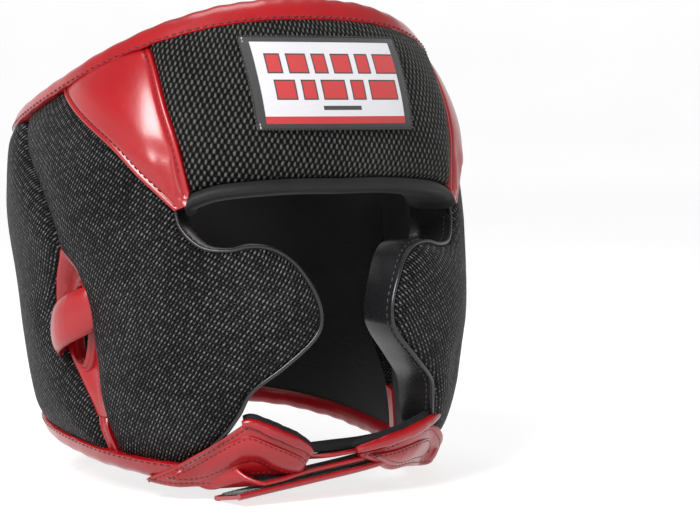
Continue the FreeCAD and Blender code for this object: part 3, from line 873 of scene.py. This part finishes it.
# ---------------------------------------------------------------- crown and jaw bindings
def binding(name, flats, thick_out, lip, height, up, side=-1, looped=False, **kw):
    """Leather folded over the edge of the panels; up is 1 over the crown, -1 at the jaw."""
    rows = []
    round_out, round_up = rounded(np.linspace(0, math.pi, 15), (2 / 2.8, 2 / 2.8))
    for number, (s, z) in enumerate(flats):
        thick = float(level(z, 4)) + thick_out + 0.6
        out = thick_out - thick * (1 - round_out) / 2
        rise = 2.0 + (height - 2.0) * round_up
        ripple = 0.22 * math.sin(number * 0.9) + 0.15 * math.sin(number * 0.37 + 1)
        out = np.r_[thick_out - 0.9, thick_out + ripple * 0.4, out,
                    thick_out - thick, thick_out - thick + 0.9]
        rise = np.r_[-lip, -lip + 0.7, rise + ripple, -lip + 0.7, -lip]
        row = shell(np.full(len(out), s / ROUND), z + up * rise, out)
        row[:, 0] *= -side
        rows.append(row)
    grid_piece(name, rows, ["red"], looped=looped, slot="leather_red", **kw)


around = np.linspace(-math.pi, math.pi, 300, endpoint=False)
rim_all = on_edge(RIM, around)
binding("crown_binding", rim_all, 0.9, 2.6, 8.6, 1, looped=True, nodes=["crown_trim"])
rim_loop = np.vstack([rim_all, rim_all[:1] + [2 * math.pi * ROUND, 0]])
shell_row("crown_stitch", rim_loop + [0, -0.9], 1.0, "red_thread", -1, length=2.8,
          gap=1.2, thick=0.45)
jaw_all = edge_between(JAW, gap_phi(np.array([-94.0]))[0] * ROUND, face[-1, 0])
for side, near in SIDES:
    binding("jaw_binding" + near, jaw_all, 0.6, 2.4, 7.6, -1, side=side,
            nodes=["jaw_trim" + near])
    shell_row("jaw_stitch" + near, jaw_all[1:-1] + [0, 0.8], 0.7, "red_thread", side,
              length=2.8, gap=1.2, thick=0.34)


# ---------------------------------------------------------------- ear openings
EAR_REAR = smooth(from_right([(-8, -11), (2, -30), (4, -50), (-8, -67), (-24, -84),
                              (-30, -94)]))
EAR_FRONT = smooth(from_right([(-8, -11), (-25, -22), (-34, -42), (-36.5, -66),
                               (-37.5, -80), (-38, -94)]))
EAR_U, EAR_V = 15.0, -50.0
spin = np.linspace(0, 2 * math.pi, 64, endpoint=False)
ear_loop = tidy_loop([EAR_REAR[::-1], EAR_FRONT], 2.0, -1.2)
ear_hole = np.stack([EAR_U + 9 * np.cos(spin[::-1]), EAR_V + 20 * np.sin(spin[::-1])], 1)


def ear_place(side):
    def place(flat, out):
        x = np.broadcast_to(side * (93.0 + np.asarray(out, float)), len(flat))
        return np.stack([x, -flat[:, 0], flat[:, 1]], 1)
    return place


def ear_top(flat, away):
    """The leather dips from the pads' edges down to the ring."""
    edge = np.minimum(distance(flat, EAR_REAR), distance(flat, EAR_FRONT))
    z = flat[:, 1]
    bulge = level(z, 1) * (1 - (np.abs(flat[:, 0]) / level(z, 2)) ** POWER) ** (1 / POWER)
    climb = np.clip(bulge - 101.0, 0, 20) * np.exp(-(edge / 5.5) ** 2)
    return 3.0 + climb + uneven(flat, 0.25, 6.0)


# raised double ring around the hole: distance outwards from the hole, height
RING = np.array([(0.0, -2.4), (-0.5, 1.6), (0.1, 3.2), (1.2, 3.9), (2.2, 3.0), (2.7, 2.1),
                 (3.4, 2.8), (4.2, 2.9), (4.9, 1.8), (5.2, 0.2), (5.0, -0.6)])
for side, near in SIDES:
    place = ear_place(side)
    slab("ear_leather" + near, ear_loop, ear_top,
         lambda flat, away: ear_top(flat, away) - 3.0, place, ["red"], step=2.2,
         rings=(0.8, 1.8, 3.0), holes=[ear_hole], nodes=["ear_panel" + near],
         slot="leather_red")
    rows = []
    for turn in spin:
        at = np.stack([EAR_U + (9 + RING[:, 0]) * math.cos(turn),
                       EAR_V + (20 + RING[:, 0] * 1.3) * math.sin(turn)], 1)
        rows.append(place(at, RING[:, 1] + 3.0))
    grid_piece("ear_rim" + near, rows, ["red"], looped=True, nodes=["ear_ring" + near],
               slot="leather_red")

    # padded loop across the opening
    cx, cy, r = circle_through((-101, 14), (-119, -17), (-103, -46))
    a0, a1 = (math.atan2(y - cy, x - cx) % (2 * math.pi)
              for x, y in ((-101, 14), (-103, -46)))
    flat_out, flat_up = rounded(turns, (1.0, 2 / 2.2))
    rows = []
    for share in np.linspace(0, 1, 44):
        a = a0 + (a1 - a0) * share
        full = math.sin(math.pi * share) ** 0.5
        ripple = (0.5 * math.sin(share * 70) * max(0.0, share - 0.6)
                  + 0.06 * math.sin(share * 90))
        out = r - 10.4 + 1.4 * full + (2.6 + 2.0 * full + ripple) * flat_out
        up = -48.0 + 22.0 * (share - 0.5) + (10.8 + 2.0 * full) * flat_up + ripple
        x, y = cx + out * math.cos(a), cy + out * math.sin(a)
        rows.append(np.stack([-side * x, y, up], 1))
    grid_piece("ear_loop" + near, rows, ["red"], nodes=["ear_bridge" + near],
               slot="leather_red", pad=0.9)
    # a seam tube along the loop's underside; its darker red is painted shade of the fold
    # beneath the loop
    seam = np.array([row[[20, 21, 22]].mean(0) + [0, 0, 0.2] for row in rows[4:-4]])
    grid_piece("ear_loop_seam" + near, tube_rows(seam, 1.1, 8), ["red_painted_shade"])

    strip_rear = slit_rear[slit_rear[:, 1] < -90]
    strip_front = slit_front[slit_front[:, 1] < -90]
    strip_loop = tidy_loop([strip_rear, strip_front[::-1]], 1.8, 0.1)

    def strip_top(flat, away):
        edge = np.minimum(distance(flat, strip_rear), distance(flat, strip_front))
        sunk = 4.5 * np.clip((flat[:, 1] + 104) / 12, 0, 1) ** 2
        return (-3.6 - sunk + 1.0 * np.exp(-((edge - 1.2) / 1.0) ** 2)
                + 1.4 * (1 - np.exp(-np.clip(edge - 2.6, 0, None) / 4.0)))
    slab("ear_band" + near, strip_loop, strip_top, inside_of(0.4), on_shell(side),
         ["red"], step=1.8, rings=(0.5, 1.2, 2.0), nodes=["ear_strip" + near],
         slot="leather_red")
    strip_seam = moved_in(strip_rear, 2.6)
    shell_row("ear_band_stitch" + near, strip_seam,
              strip_top(strip_seam, 0) + 0.1, "red_thread",
              side, length=2.0, gap=0.9, thick=0.3)
    place_row = place(moved_in(EAR_REAR, -3.4)[6:-4], 3.6)
    stitches("ear_stitch" + near, place_row,
             np.broadcast_to([side, 0, 0], place_row.shape).astype(float),
             "red_thread", length=2.0, gap=0.9, thick=0.3)

# ---------------------------------------------------------------- chin
STRAP_FRONT, STRAP_BACK = -108.0, -80.0
PASS_UPPER = ((50.0, -109.8), (-54.0, -118.1))
PASS_LOWER = ((-54.0, -125.7), (44.0, -113.6))
PASS_TAIL = ((43.4, -118.4), (-56.0, -131.4))


def arc(first, middle, last, count):
    """Points of an anticlockwise arc through three points."""
    cx, cz, r = circle_through(first, middle, last)
    a, b, c = (math.atan2(p[1] - cz, p[0] - cx) for p in (first, middle, last))
    while b < a:
        b += 2 * math.pi
    while c < b:
        c += 2 * math.pi
    return [(cx + r * math.cos(t), cz + r * math.sin(t)) for t in np.linspace(a, c, count)]


def line(ends, count):
    return [tuple(np.array(ends[0]) + (np.array(ends[1]) - ends[0]) * t)
            for t in np.linspace(0, 1, count)]


def on_pass(ends, x, lift=0.0):
    (x0, z0), (x1, z1) = ends
    return x, z0 + (z1 - z0) * (x - x0) / (x1 - x0) + lift


def band_section(low, high, half, top, under, curl, fold):
    """Section of a band with bound edges: places across it and heights, all round."""
    rim = [(3.2, half), (3.0, top), (fold, top), (0.2, curl), (0.0, 0.0), (0.2, -curl),
           (fold, -under), (3.0, -under), (3.2, -half)]
    middle = np.linspace(low + 6, high - 6, 7)
    section = [(low + at, h) for at, h in rim] + [(at, -half) for at in middle]
    section += [(high - at, h) for at, h in rim[::-1]] + [(at, half) for at in middle[::-1]]
    return np.array(section).T


def strap_rows(path, thick, front, back, bead=0.3, wave=0.35, shift=0.0, tilt=0.17,
               skew=0.0):
    """Flat strap with bound edges; path is in x and z, front and back are y."""
    path = np.asarray(path, float)
    ahead = np.gradient(path, axis=0)
    ahead /= np.linalg.norm(ahead, axis=1)[:, None]
    normal = np.stack([ahead[:, 1], -ahead[:, 0]], 1)
    half = thick / 2
    y, h = band_section(front, back, half, half + bead, half + bead, half * 0.8, 0.9)
    shift, skew = np.broadcast_to(shift, len(path)), np.broadcast_to(skew, len(path))
    rows = []
    for number, (spot, way) in enumerate(zip(path, normal)):
        out = h + wave * math.sin(number * 0.33) * np.sin((y - front) / 9.0) * 0.6
        at = y + shift[number]
        rows.append(np.stack([spot[0] + way[0] * out + skew[number] * (back - 8.0 - at),
                              at,
                              spot[1] + way[1] * out + tilt * ((front + back) / 2 - y)],
                             1))
    return rows


def strap_slots(red_from=None, under_red=False):
    """Bound edges are red; the faces are black, or red over the given run."""
    def slots(i, j):
        if j < 8 or 16 <= j < 24:
            return 1
        if j < 16:
            return int(under_red)
        return int(red_from is not None and red_from[0] <= i <= red_from[1])
    return slots


def step_up(t):
    t = np.clip(t, 0, 1)
    return t * t * (3 - 2 * t)


def wrap_back(path):
    """The strap curves back with the jaw on the wearer's left."""
    return 8.0 * np.clip(np.array(path)[:, 0] / 47.0, 0, 1) ** 2


upper = line(PASS_UPPER, 60)
turn_points = arc(PASS_UPPER[1], (-57.8, -121.9), PASS_LOWER[0], 17)[1:]
lower = line(PASS_LOWER, 58)[1:]
end_turn = arc((45.4, -118.2), (47.4, -115.6), PASS_LOWER[1], 9)[::-1][1:]
strap_path = upper + turn_points + lower + end_turn
tucked = 12.0 * step_up((-np.array(upper)[:, 0] - 2.0) / 26.0)
strap_shift = np.r_[tucked, 12.0 * (1 - step_up(np.linspace(0, 1, len(turn_points)))),
                    np.zeros(len(lower) + len(end_turn))]
strap_shift = strap_shift + wrap_back(strap_path)
strap_skew = 0.62 * step_up((-12.0 - np.array(strap_path)[:, 0]) / 38.0)
grid_piece("chin_strap_folded", strap_rows(strap_path, 1.7, STRAP_FRONT, STRAP_BACK,
                                           shift=strap_shift, skew=strap_skew),
           ["lining", "red"], slots=strap_slots((56, 84)), nodes=["chin_strap"],
           slot="leather_red")
loop_path = line((on_pass(PASS_LOWER, -40, -1.5), on_pass(PASS_LOWER, 30, -1.5)), 30)
grid_piece("chin_loop_tape", strap_rows(loop_path, 1.1, -104.5, -83.5, bead=0.0,
                                        shift=wrap_back(loop_path)),
           ["loop"], nodes=["chin_loop_patch"], slot="loop_black")
tail_path = line(PASS_TAIL, 50)
grid_piece("chin_tail_strap", strap_rows(tail_path, 2.0, STRAP_FRONT, STRAP_BACK,
                                         bead=0.5, shift=wrap_back(tail_path)),
           ["lining", "red"], slots=strap_slots(under_red=True),
           nodes=["chin_strap_tail"], slot="leather_red", body="chin_tail")
hook_path = line((on_pass(PASS_TAIL, 8, 1.6), on_pass(PASS_TAIL, -53, 1.6)), 30)
grid_piece("chin_hook_tape", strap_rows(hook_path, 1.2, -105.2, -82.8, bead=0.0),
           ["hook"], nodes=["chin_hook_patch"], slot="hook_black", body="chin_tail")

# wings at each end of the jaw: a flat layer, a stepped layer sewn on it, a padded roll
WINGS = {
    "_R": ([(-85, -125.5), (-79.5, -118.5), (-71.5, -109), (-62, -99.5), (-54, -92),
           (-44, -97), (-30, -103), (-18, -107.5), (-18, -113.5), (-23, -121.5),
           (-34, -121), (-45, -121), (-52, -124), (-62, -127.5), (-76, -127.5)],
          [(-80, -123.5), (-74, -116.5), (-66, -107.5), (-58, -100.5), (-52.5, -97.5),
           (-42, -102.5), (-30, -107.5), (-20.5, -112), (-18.5, -116), (-20.5, -122),
           (-30, -121), (-40, -117), (-47, -112.6), (-54, -115), (-61, -121.5),
           (-68, -125.5)],
          [(-56.5, -93), (-52, -92.8), (-42, -97.2), (-30, -102.4), (-21.5, -106.8),
           (-18.5, -109.8)]),
    "_L": ([(-84, -123), (-74, -110), (-64, -101.5), (-44, -103.5), (-24, -110),
           (-10, -111.5), (-12, -114), (-26, -118.5), (-38, -124), (-52, -123.5),
           (-72, -127)],
          [(-74, -119), (-66, -108.5), (-54, -108), (-34, -111.2), (-15, -112.6),
           (-20, -115), (-30, -119), (-39, -121.8), (-52, -120.5), (-66, -122)],
          [(-68, -96.5), (-58, -99), (-44, -102.6), (-30, -105.4), (-18, -107.6),
           (-8, -109.4)]),
}


def wing_outline(points):
    """Rounded outline seen from the front, as flat points of the shell."""
    ring = resample(np.array(points + points[:1], float), 2.4)[:-1]
    for _ in range(2):
        ring = (np.roll(ring, 1, 0) + 2 * ring + np.roll(ring, -1, 0)) / 4
    return tidy_loop([turned(ring, 0)], 1.5, 0.0)


def wing_rest(flat):
    """Height of the wing: over the cheek pad and jaw binding, below the pad beyond."""
    low = face[face[:, 1] < -70]
    edge = np.interp(-flat[:, 1], -low[:, 1], low[:, 0])
    return -3.9 + 5.6 * step_up((0.8 * (edge - flat[:, 0]) + 5.0) / 9.0)


def wing_top(flat, away):
    return (wing_rest(flat) - 1.2 * np.exp(-away / 0.6) + 0.6 * (1 - np.exp(-away / 3.0))
            - 0.5 * np.exp(-((away - 2.2) / 0.6) ** 2))


def step_top(flat, away):
    """The stepped layer is padded towards its free end."""
    free = np.clip((flat[:, 0] + 62) / 22, 0, 1)
    return (wing_rest(flat) + 1.0 - 1.4 * np.exp(-away / 0.6) + (0.7 + 2.4 * free)
            * (1 - np.exp(-away / 2.8)) - 0.45 * np.exp(-((away - 2.0) / 0.6) ** 2)
            + uneven(flat, 0.25, 4.0))


def level_at(height):
    return lambda flat, away: np.full(len(flat), height)


for side, near in SIDES:
    place = on_shell(side)
    wing, layer, roll_run = WINGS[near]
    wing_loop, step_loop = wing_outline(wing), wing_outline(layer)
    slab("chin_wing" + near, wing_loop, wing_top, level_at(-7.6), place, ["red"],
         step=2.0, rings=(0.4, 1.0, 2.0, 3.0), nodes=["chin_tab" + near],
         slot="leather_red")
    slab("chin_wing_layer" + near, step_loop, step_top, level_at(-4.6), place, ["red"],
         step=1.8, rings=(0.4, 1.0, 1.8, 2.6), slot="leather_red")
    for name, outer, inset, top in (("chin_wing_stitch", step_loop, 2.0, step_top),
                                    ("chin_edge_stitch", wing_loop, 2.2, wing_top)):
        row = moved_in(closed(outer), inset)
        shell_row(name + near, row, top(row, np.full(len(row), inset)) + 0.1,
                  "red_thread", side, length=2.0, gap=0.9, thick=0.33)
    roll_line = smooth(turned(roll_run, 0), 1.5)
    share = np.linspace(0, 1, len(roll_line))
    size = 3.1 * np.clip(np.sin(math.pi * (share * 0.94 + 0.04)), 0, 1) ** 0.3
    size = size * (1 + 0.05 * np.sin(share * 21) + 0.03 * np.sin(share * 47))
    grid_piece("chin_roll_pad" + near, tube_rows(place(roll_line, -4.2), size, 20), ["red"],
               nodes=["chin_roll" + near], slot="leather_red", pad=0.9)
    under = place(roll_line + [0.5, 2.4], -8.0)
    grid_piece("chin_roll_lining" + near, tube_rows(under, size * 0.85, 18), ["lining"],
               slot="lining_black", pad=0.7)

# padding under the chin
cx, cz, r = circle_through((-64, -104), (0, -108.2), (64, -102.4))
flat_y, flat_z = rounded(turns, (0.5, 0.6))
rows = []
for x in np.linspace(-58, 58, 70):
    z = cz - math.sqrt(r * r - (x - cx) ** 2)
    y0, y1 = -104.0 + 9.0 * abs(x / 58) ** 2, -81.0
    ys = (y0 + y1) / 2 + (y1 - y0) / 2 * flat_y
    zs = z - 1.5 + (1.7 + 0.2 * math.sin(x / 6)) * flat_z
    rows.append(np.stack([np.full(len(turns), x), ys, zs], 1))
grid_piece("chin_cushion", rows, ["lining"], nodes=["chin_pad"], slot="lining_black",
           pad=0.6)

# ---------------------------------------------------------------- crown straps
RADIUS, TOP = 229.0, 97.0


def crown_path(start, end, lift, count):
    centre_z = TOP - RADIUS
    turn = np.linspace(math.asin(start / RADIUS), math.asin(end / RADIUS), count)
    return [((RADIUS + lift) * math.sin(a), centre_z + (RADIUS + lift) * math.cos(a))
            for a in turn]


def cavity_x(z, y, sign):
    """Where the cavity's wall is at a height and length, on one side."""
    grow = -level(z, 4)
    a = level(z, 1) + grow
    b = (level(z, 2) if y < 0 else level(z, 3)) + grow
    return sign * float(a * (1 - (abs(y) / b) ** POWER) ** (1 / POWER))


CROWN_FRONT, CROWN_BACK = -14.0, 20.0
reach_r = cavity_x(75.0, 3.0, -1)
crown_parts = [
    ("crown_band_R", reach_r + 1.0, 30.0, -1.2, 2.3, 0.5, "lining", "lining", HEAD,
     "crown_strap_R", "leather_black", 0.0),
    ("crown_loop_tape", -42.0, 28.0, 0.6, 1.1, 0.0, "loop", "loop", HEAD,
     "crown_loop_patch", "loop_black", 1.5),
    ("crown_hook_tape", -32.0, 20.0, 2.2, 0.9, 0.0, "hook", "hook", "crown_tail",
     "crown_hook_patch", "hook_black", 2.0),
    ("crown_tail_band", -38.0, 50.0, 3.9, 2.3, 0.5, "gloss", "red", "crown_tail",
     "crown_strap_tail", "leather_black", 0.0),
    ("crown_band_L", 52.0, -reach_r - 1.0, 3.9, 2.3, 0.5, "gloss", "red", HEAD,
     "crown_strap_L", "leather_black", 0.0),
]
for name, start, end, lift, thick, bead, face_mat, edge_mat, body, cad, finish, slim \
        in crown_parts:
    rows = strap_rows(crown_path(start, end, lift, 40), thick, CROWN_FRONT + slim,
                      CROWN_BACK - slim, bead=bead, wave=0.0, tilt=0.0)
    grid_piece(name, rows, [face_mat, edge_mat], slots=strap_slots(), body=body,
               nodes=[cad], slot=finish)
cy, cz, r = circle_through((-90, 98), (5, 89), (120, 46))
middle = [(y, cz + (1 if cz < 0 else -1) * math.sqrt(r * r - (y - cy) ** 2) + 1.2)
          for y in np.linspace(-62, 100, 70)]
rows = [[(-across, spot[0], z) for _, across, z in row]
        for row, spot in zip(strap_rows(middle, 2.3, -17.0, 17.0, bead=0.5, wave=0.0,
                                        tilt=0.0), middle)]
grid_piece("crown_band_middle", rows, ["lining", "gloss"], slots=strap_slots(),
           nodes=["crown_strap_middle"], slot="leather_black")

# ---------------------------------------------------------------- rear closure
def rear_band(name, x_from, x_to, z_low, z_high, out_low, out_high, mats, body, cad,
              finish, bead=0.6):
    """A flat band lying on the shell's rear, between two widths."""
    xs = np.linspace(x_from, x_to, max(8, int(abs(x_to - x_from) / 2.2)))
    turn = np.array([math.pi - math.asin(x / 118.0) for x in xs])
    half = (out_high - out_low) / 2
    z, out = band_section(z_low, z_high, half, half + bead, half + bead * 0.3, half, 1.0)
    out = out + (out_high + out_low) / 2
    rows = []
    for x, start in zip(xs, turn):
        phi = np.full(len(z), start)
        for _ in range(30):
            phi = phi + (shell(phi, z, out)[:, 0] - x) / 120.0
        rows.append(shell(phi, z, out))
    grid_piece(name, rows, mats, slots=strap_slots(), body=body, nodes=[cad], slot=finish)


rear_band("rear_band_anchor", 54, 26, 13, 45, 4.0, 8.4, ["gloss", "red"], HEAD,
          "rear_strap", "leather_black")
rear_band("rear_band_tail", 24, -60, 13, 45, 6.3, 8.4, ["gloss", "red"], "rear_tail",
          "rear_strap_tail", "leather_black")
rear_band("rear_hook_tape", -26, -56, 15, 43, 5.3, 6.3, ["hook", "hook"], "rear_tail",
          "rear_hook_patch", "hook_black", bead=0.0)
rear_band("rear_loop_tape", -24, -64, 15, 43, 3.4, 4.6, ["loop", "loop"], HEAD,
          "rear_loop_patch", "loop_black", bead=0.0)
rear_band("rear_elastic_band", 36, -36, -52, -16, 2.6, 4.6, ["elastic", "elastic"], HEAD,
          "rear_elastic", "elastic_black", bead=0.0)

# ---------------------------------------------------------------- sewn patch
LABEL = (-44.0, 51.0, 41.0, 97.0)


def label_material():
    """Woven patch: dark border, pale field, red band and plain blocks."""
    look = Look("label_woven")
    u, v = look.split(look.weave())

    def box(low_u, low_v, high_u, high_v):
        """One inside a rectangle of the patch, nothing outside it."""
        spans = (u, low_u, high_u), (v, low_v, high_v)
        du, dv = (look.calc("LESS_THAN", look.calc("ABSOLUTE", at - (low + high) / 2),
                            (high - low) / 2) for at, low, high in spans)
        return du * dv

    def mix(under, share, colour):
        return look.put("Mix", {0: share, 6: under, 7: (*colour, 1)}, output=2,
                        data_type="RGBA")

    wide, high = LABEL[2] - LABEL[0], LABEL[3] - LABEL[1]
    colour = mix((0.012, 0.012, 0.013, 1), box(2.8, 2.8, wide - 2.8, high - 2.8),
                 (0.58, 0.57, 0.6))
    colour = mix(colour, box(2.8, 2.8, wide - 2.8, 6.4), (0.42, 0.012, 0.014))
    rows = ((27.5, 37.5, ((8, 16), (19, 30), (33, 41), (44, 55), (58, 66), (69, 83))),
            (14.5, 24.5, ((10, 21), (24, 32), (35, 49), (52, 60), (63, 80))))
    for low_v, high_v, blocks in rows:
        for low_u, high_u in blocks:
            colour = mix(colour, box(low_u, low_v, high_u, high_v), (0.02, 0.015, 0.016))
            colour = mix(colour, box(low_u + .7, low_v + .7, high_u - .7, high_v - .7),
                         (0.44, 0.012, 0.014))
    colour = mix(colour, box(34, 9.5, 56, 11.6), (0.02, 0.02, 0.02))
    warp, weft = (look.calc("SINE", way * (2 * math.pi / pitch))
                  for way, pitch in ((u, 0.55), (v, 0.4)))
    fine = look.noise(1500.0, 2.0)
    height = (warp + weft) * 0.4 + fine
    shade = look.remap(height, 0.82, 1.0, -0.4, 1.4)
    final = look.put("VectorMath", {0: colour, 3: shade}, operation="SCALE")
    return look.finish(final, look.remap(fine, 0.42, 0.62), height, 0.5, 0.00025,
                       Sheen_Weight=0.2)


M["label"] = label_material()
corners = [(LABEL[i], LABEL[j]) for i, j in ((0, 1), (2, 1), (2, 3), (0, 3), (0, 1))]
label_ring = turned(resample(corners, 1.6), 0)


def over_forehead(extra, edge_drop=0.0):
    def height(flat, away):
        under = fore_top(flat, distance(flat, closed(fore_loop)))
        return under + extra - edge_drop * np.exp(-away / 0.7)
    return height


swell_room = SWELL
patch = slab("front_patch", label_ring[:-1], over_forehead(1.2 + swell_room, 0.6),
             over_forehead(-2.0), centre, ["label"], step=2.4, rings=(0.5, 1.2),
             nodes=["forehead_label"], slot="label_woven")
layer = patch.data.uv_layers["weave"]
for poly in patch.data.polygons:
    for index in poly.loop_indices:
        spot = patch.data.vertices[patch.data.loops[index].vertex_index].co / MM
        layer.data[index].uv = (spot.x - LABEL[0], spot.z - LABEL[1])
lift = over_forehead(1.2 + swell_room)(label_ring, np.zeros(len(label_ring)))
path = centre(label_ring, lift - 0.2)
stitches("patch_overlock", path, path - centre(label_ring, lift - 1.2), "black_thread",
         length=1.5, gap=0.25, thick=0.5, slant=0.5)
left = path[:-1][np.abs(path[:-1, 0] - LABEL[0]) < 1.2]
left = left[np.argsort(left[:, 2])]
stitches("patch_edge_pale", left + [0.0, -0.5, 0], np.tile([[-0.3, -1.0, 0.1]], (len(left), 1)),
         "pale_thread", length=1.6, gap=0.2, thick=0.33)

# ---------------------------------------------------------------- stage, light, camera
scene = bpy.context.scene
AROUND = 96
# pale floor that curves up into a wall all round: radius and height in metres
profile = [(2.0, 0.0), (4.0, 0.0), (5.0, 0.0), (5.5, 0.07), (5.85, 0.3), (6.0, 0.7),
           (6.0, 2.6)]
spots = [(r * math.cos(t), r * math.sin(t), h) for r, h in profile
         for t in np.linspace(0, 2 * math.pi, AROUND, endpoint=False)]
floor_faces = [tuple(range(AROUND))]
floor_faces += [(i + k, i + AROUND + k, i + AROUND + (k + 1) % AROUND,
                 i + (k + 1) % AROUND)
                for i in range(0, AROUND * (len(profile) - 1), AROUND)
                for k in range(AROUND)]
stage_mesh = bpy.data.meshes.new("floor")
stage_mesh.from_pydata(spots, [], floor_faces)
stage_mesh.polygons.foreach_set("use_smooth", [True] * len(stage_mesh.polygons))
floor = bpy.data.objects.new("floor", stage_mesh)
scene.collection.objects.link(floor)
floor.location = (0, 0, CAD_BOX[0][2] - 0.002)
look = Look("floor_white")
tone = look.ramp(look.noise(3.0), [(0.3, (0.36, 0.36, 0.36)), (0.7, (0.39, 0.39, 0.39))])
stage_mesh.materials.append(look.finish(tone, 0.9, Emission_Color=(1, 1, 1, 1),
                                        Emission_Strength=0.72))

world = bpy.data.worlds.new("studio")
scene.world = world
world.use_nodes = True
background = world.node_tree.nodes["Background"]
background.inputs["Color"].default_value = (1, 1, 1, 1)
background.inputs["Strength"].default_value = 0.28


def light(name, where, size, power, tall=None):
    """A rectangular lamp that faces the origin."""
    data = bpy.data.lights.new(name, "AREA")
    data.energy = power
    data.shape = "RECTANGLE"
    data.size, data.size_y = size, tall or size
    item = bpy.data.objects.new(name, data)
    scene.collection.objects.link(item)
    item.location = where
    item.rotation_euler = (-Vector(where)).to_track_quat("-Z", "Y").to_euler()


light("key", (-1.3, -0.9, 1.25), 0.8, 56, 0.9)
light("front", (-0.1, -1.9, 0.7), 0.5, 3)
light("top", (0.1, 0.3, 1.6), 0.8, 8)

azimuth, elevation = math.radians(-28), math.radians(4)
target = Vector((0, 0, -0.022))
away = Vector((math.sin(azimuth) * math.cos(elevation),
               -math.cos(azimuth) * math.cos(elevation), math.sin(elevation)))
camera = bpy.data.objects.new("camera", bpy.data.cameras.new("camera"))
camera.data.lens = 124.35
camera.data.sensor_width = 36
camera.data.shift_x = 0.16
camera.location = target + away * 1.3
camera.rotation_euler = (-away).to_track_quat("-Z", "Y").to_euler()
scene.collection.objects.link(camera)
scene.camera = camera
scene.view_settings.view_transform = "Standard"
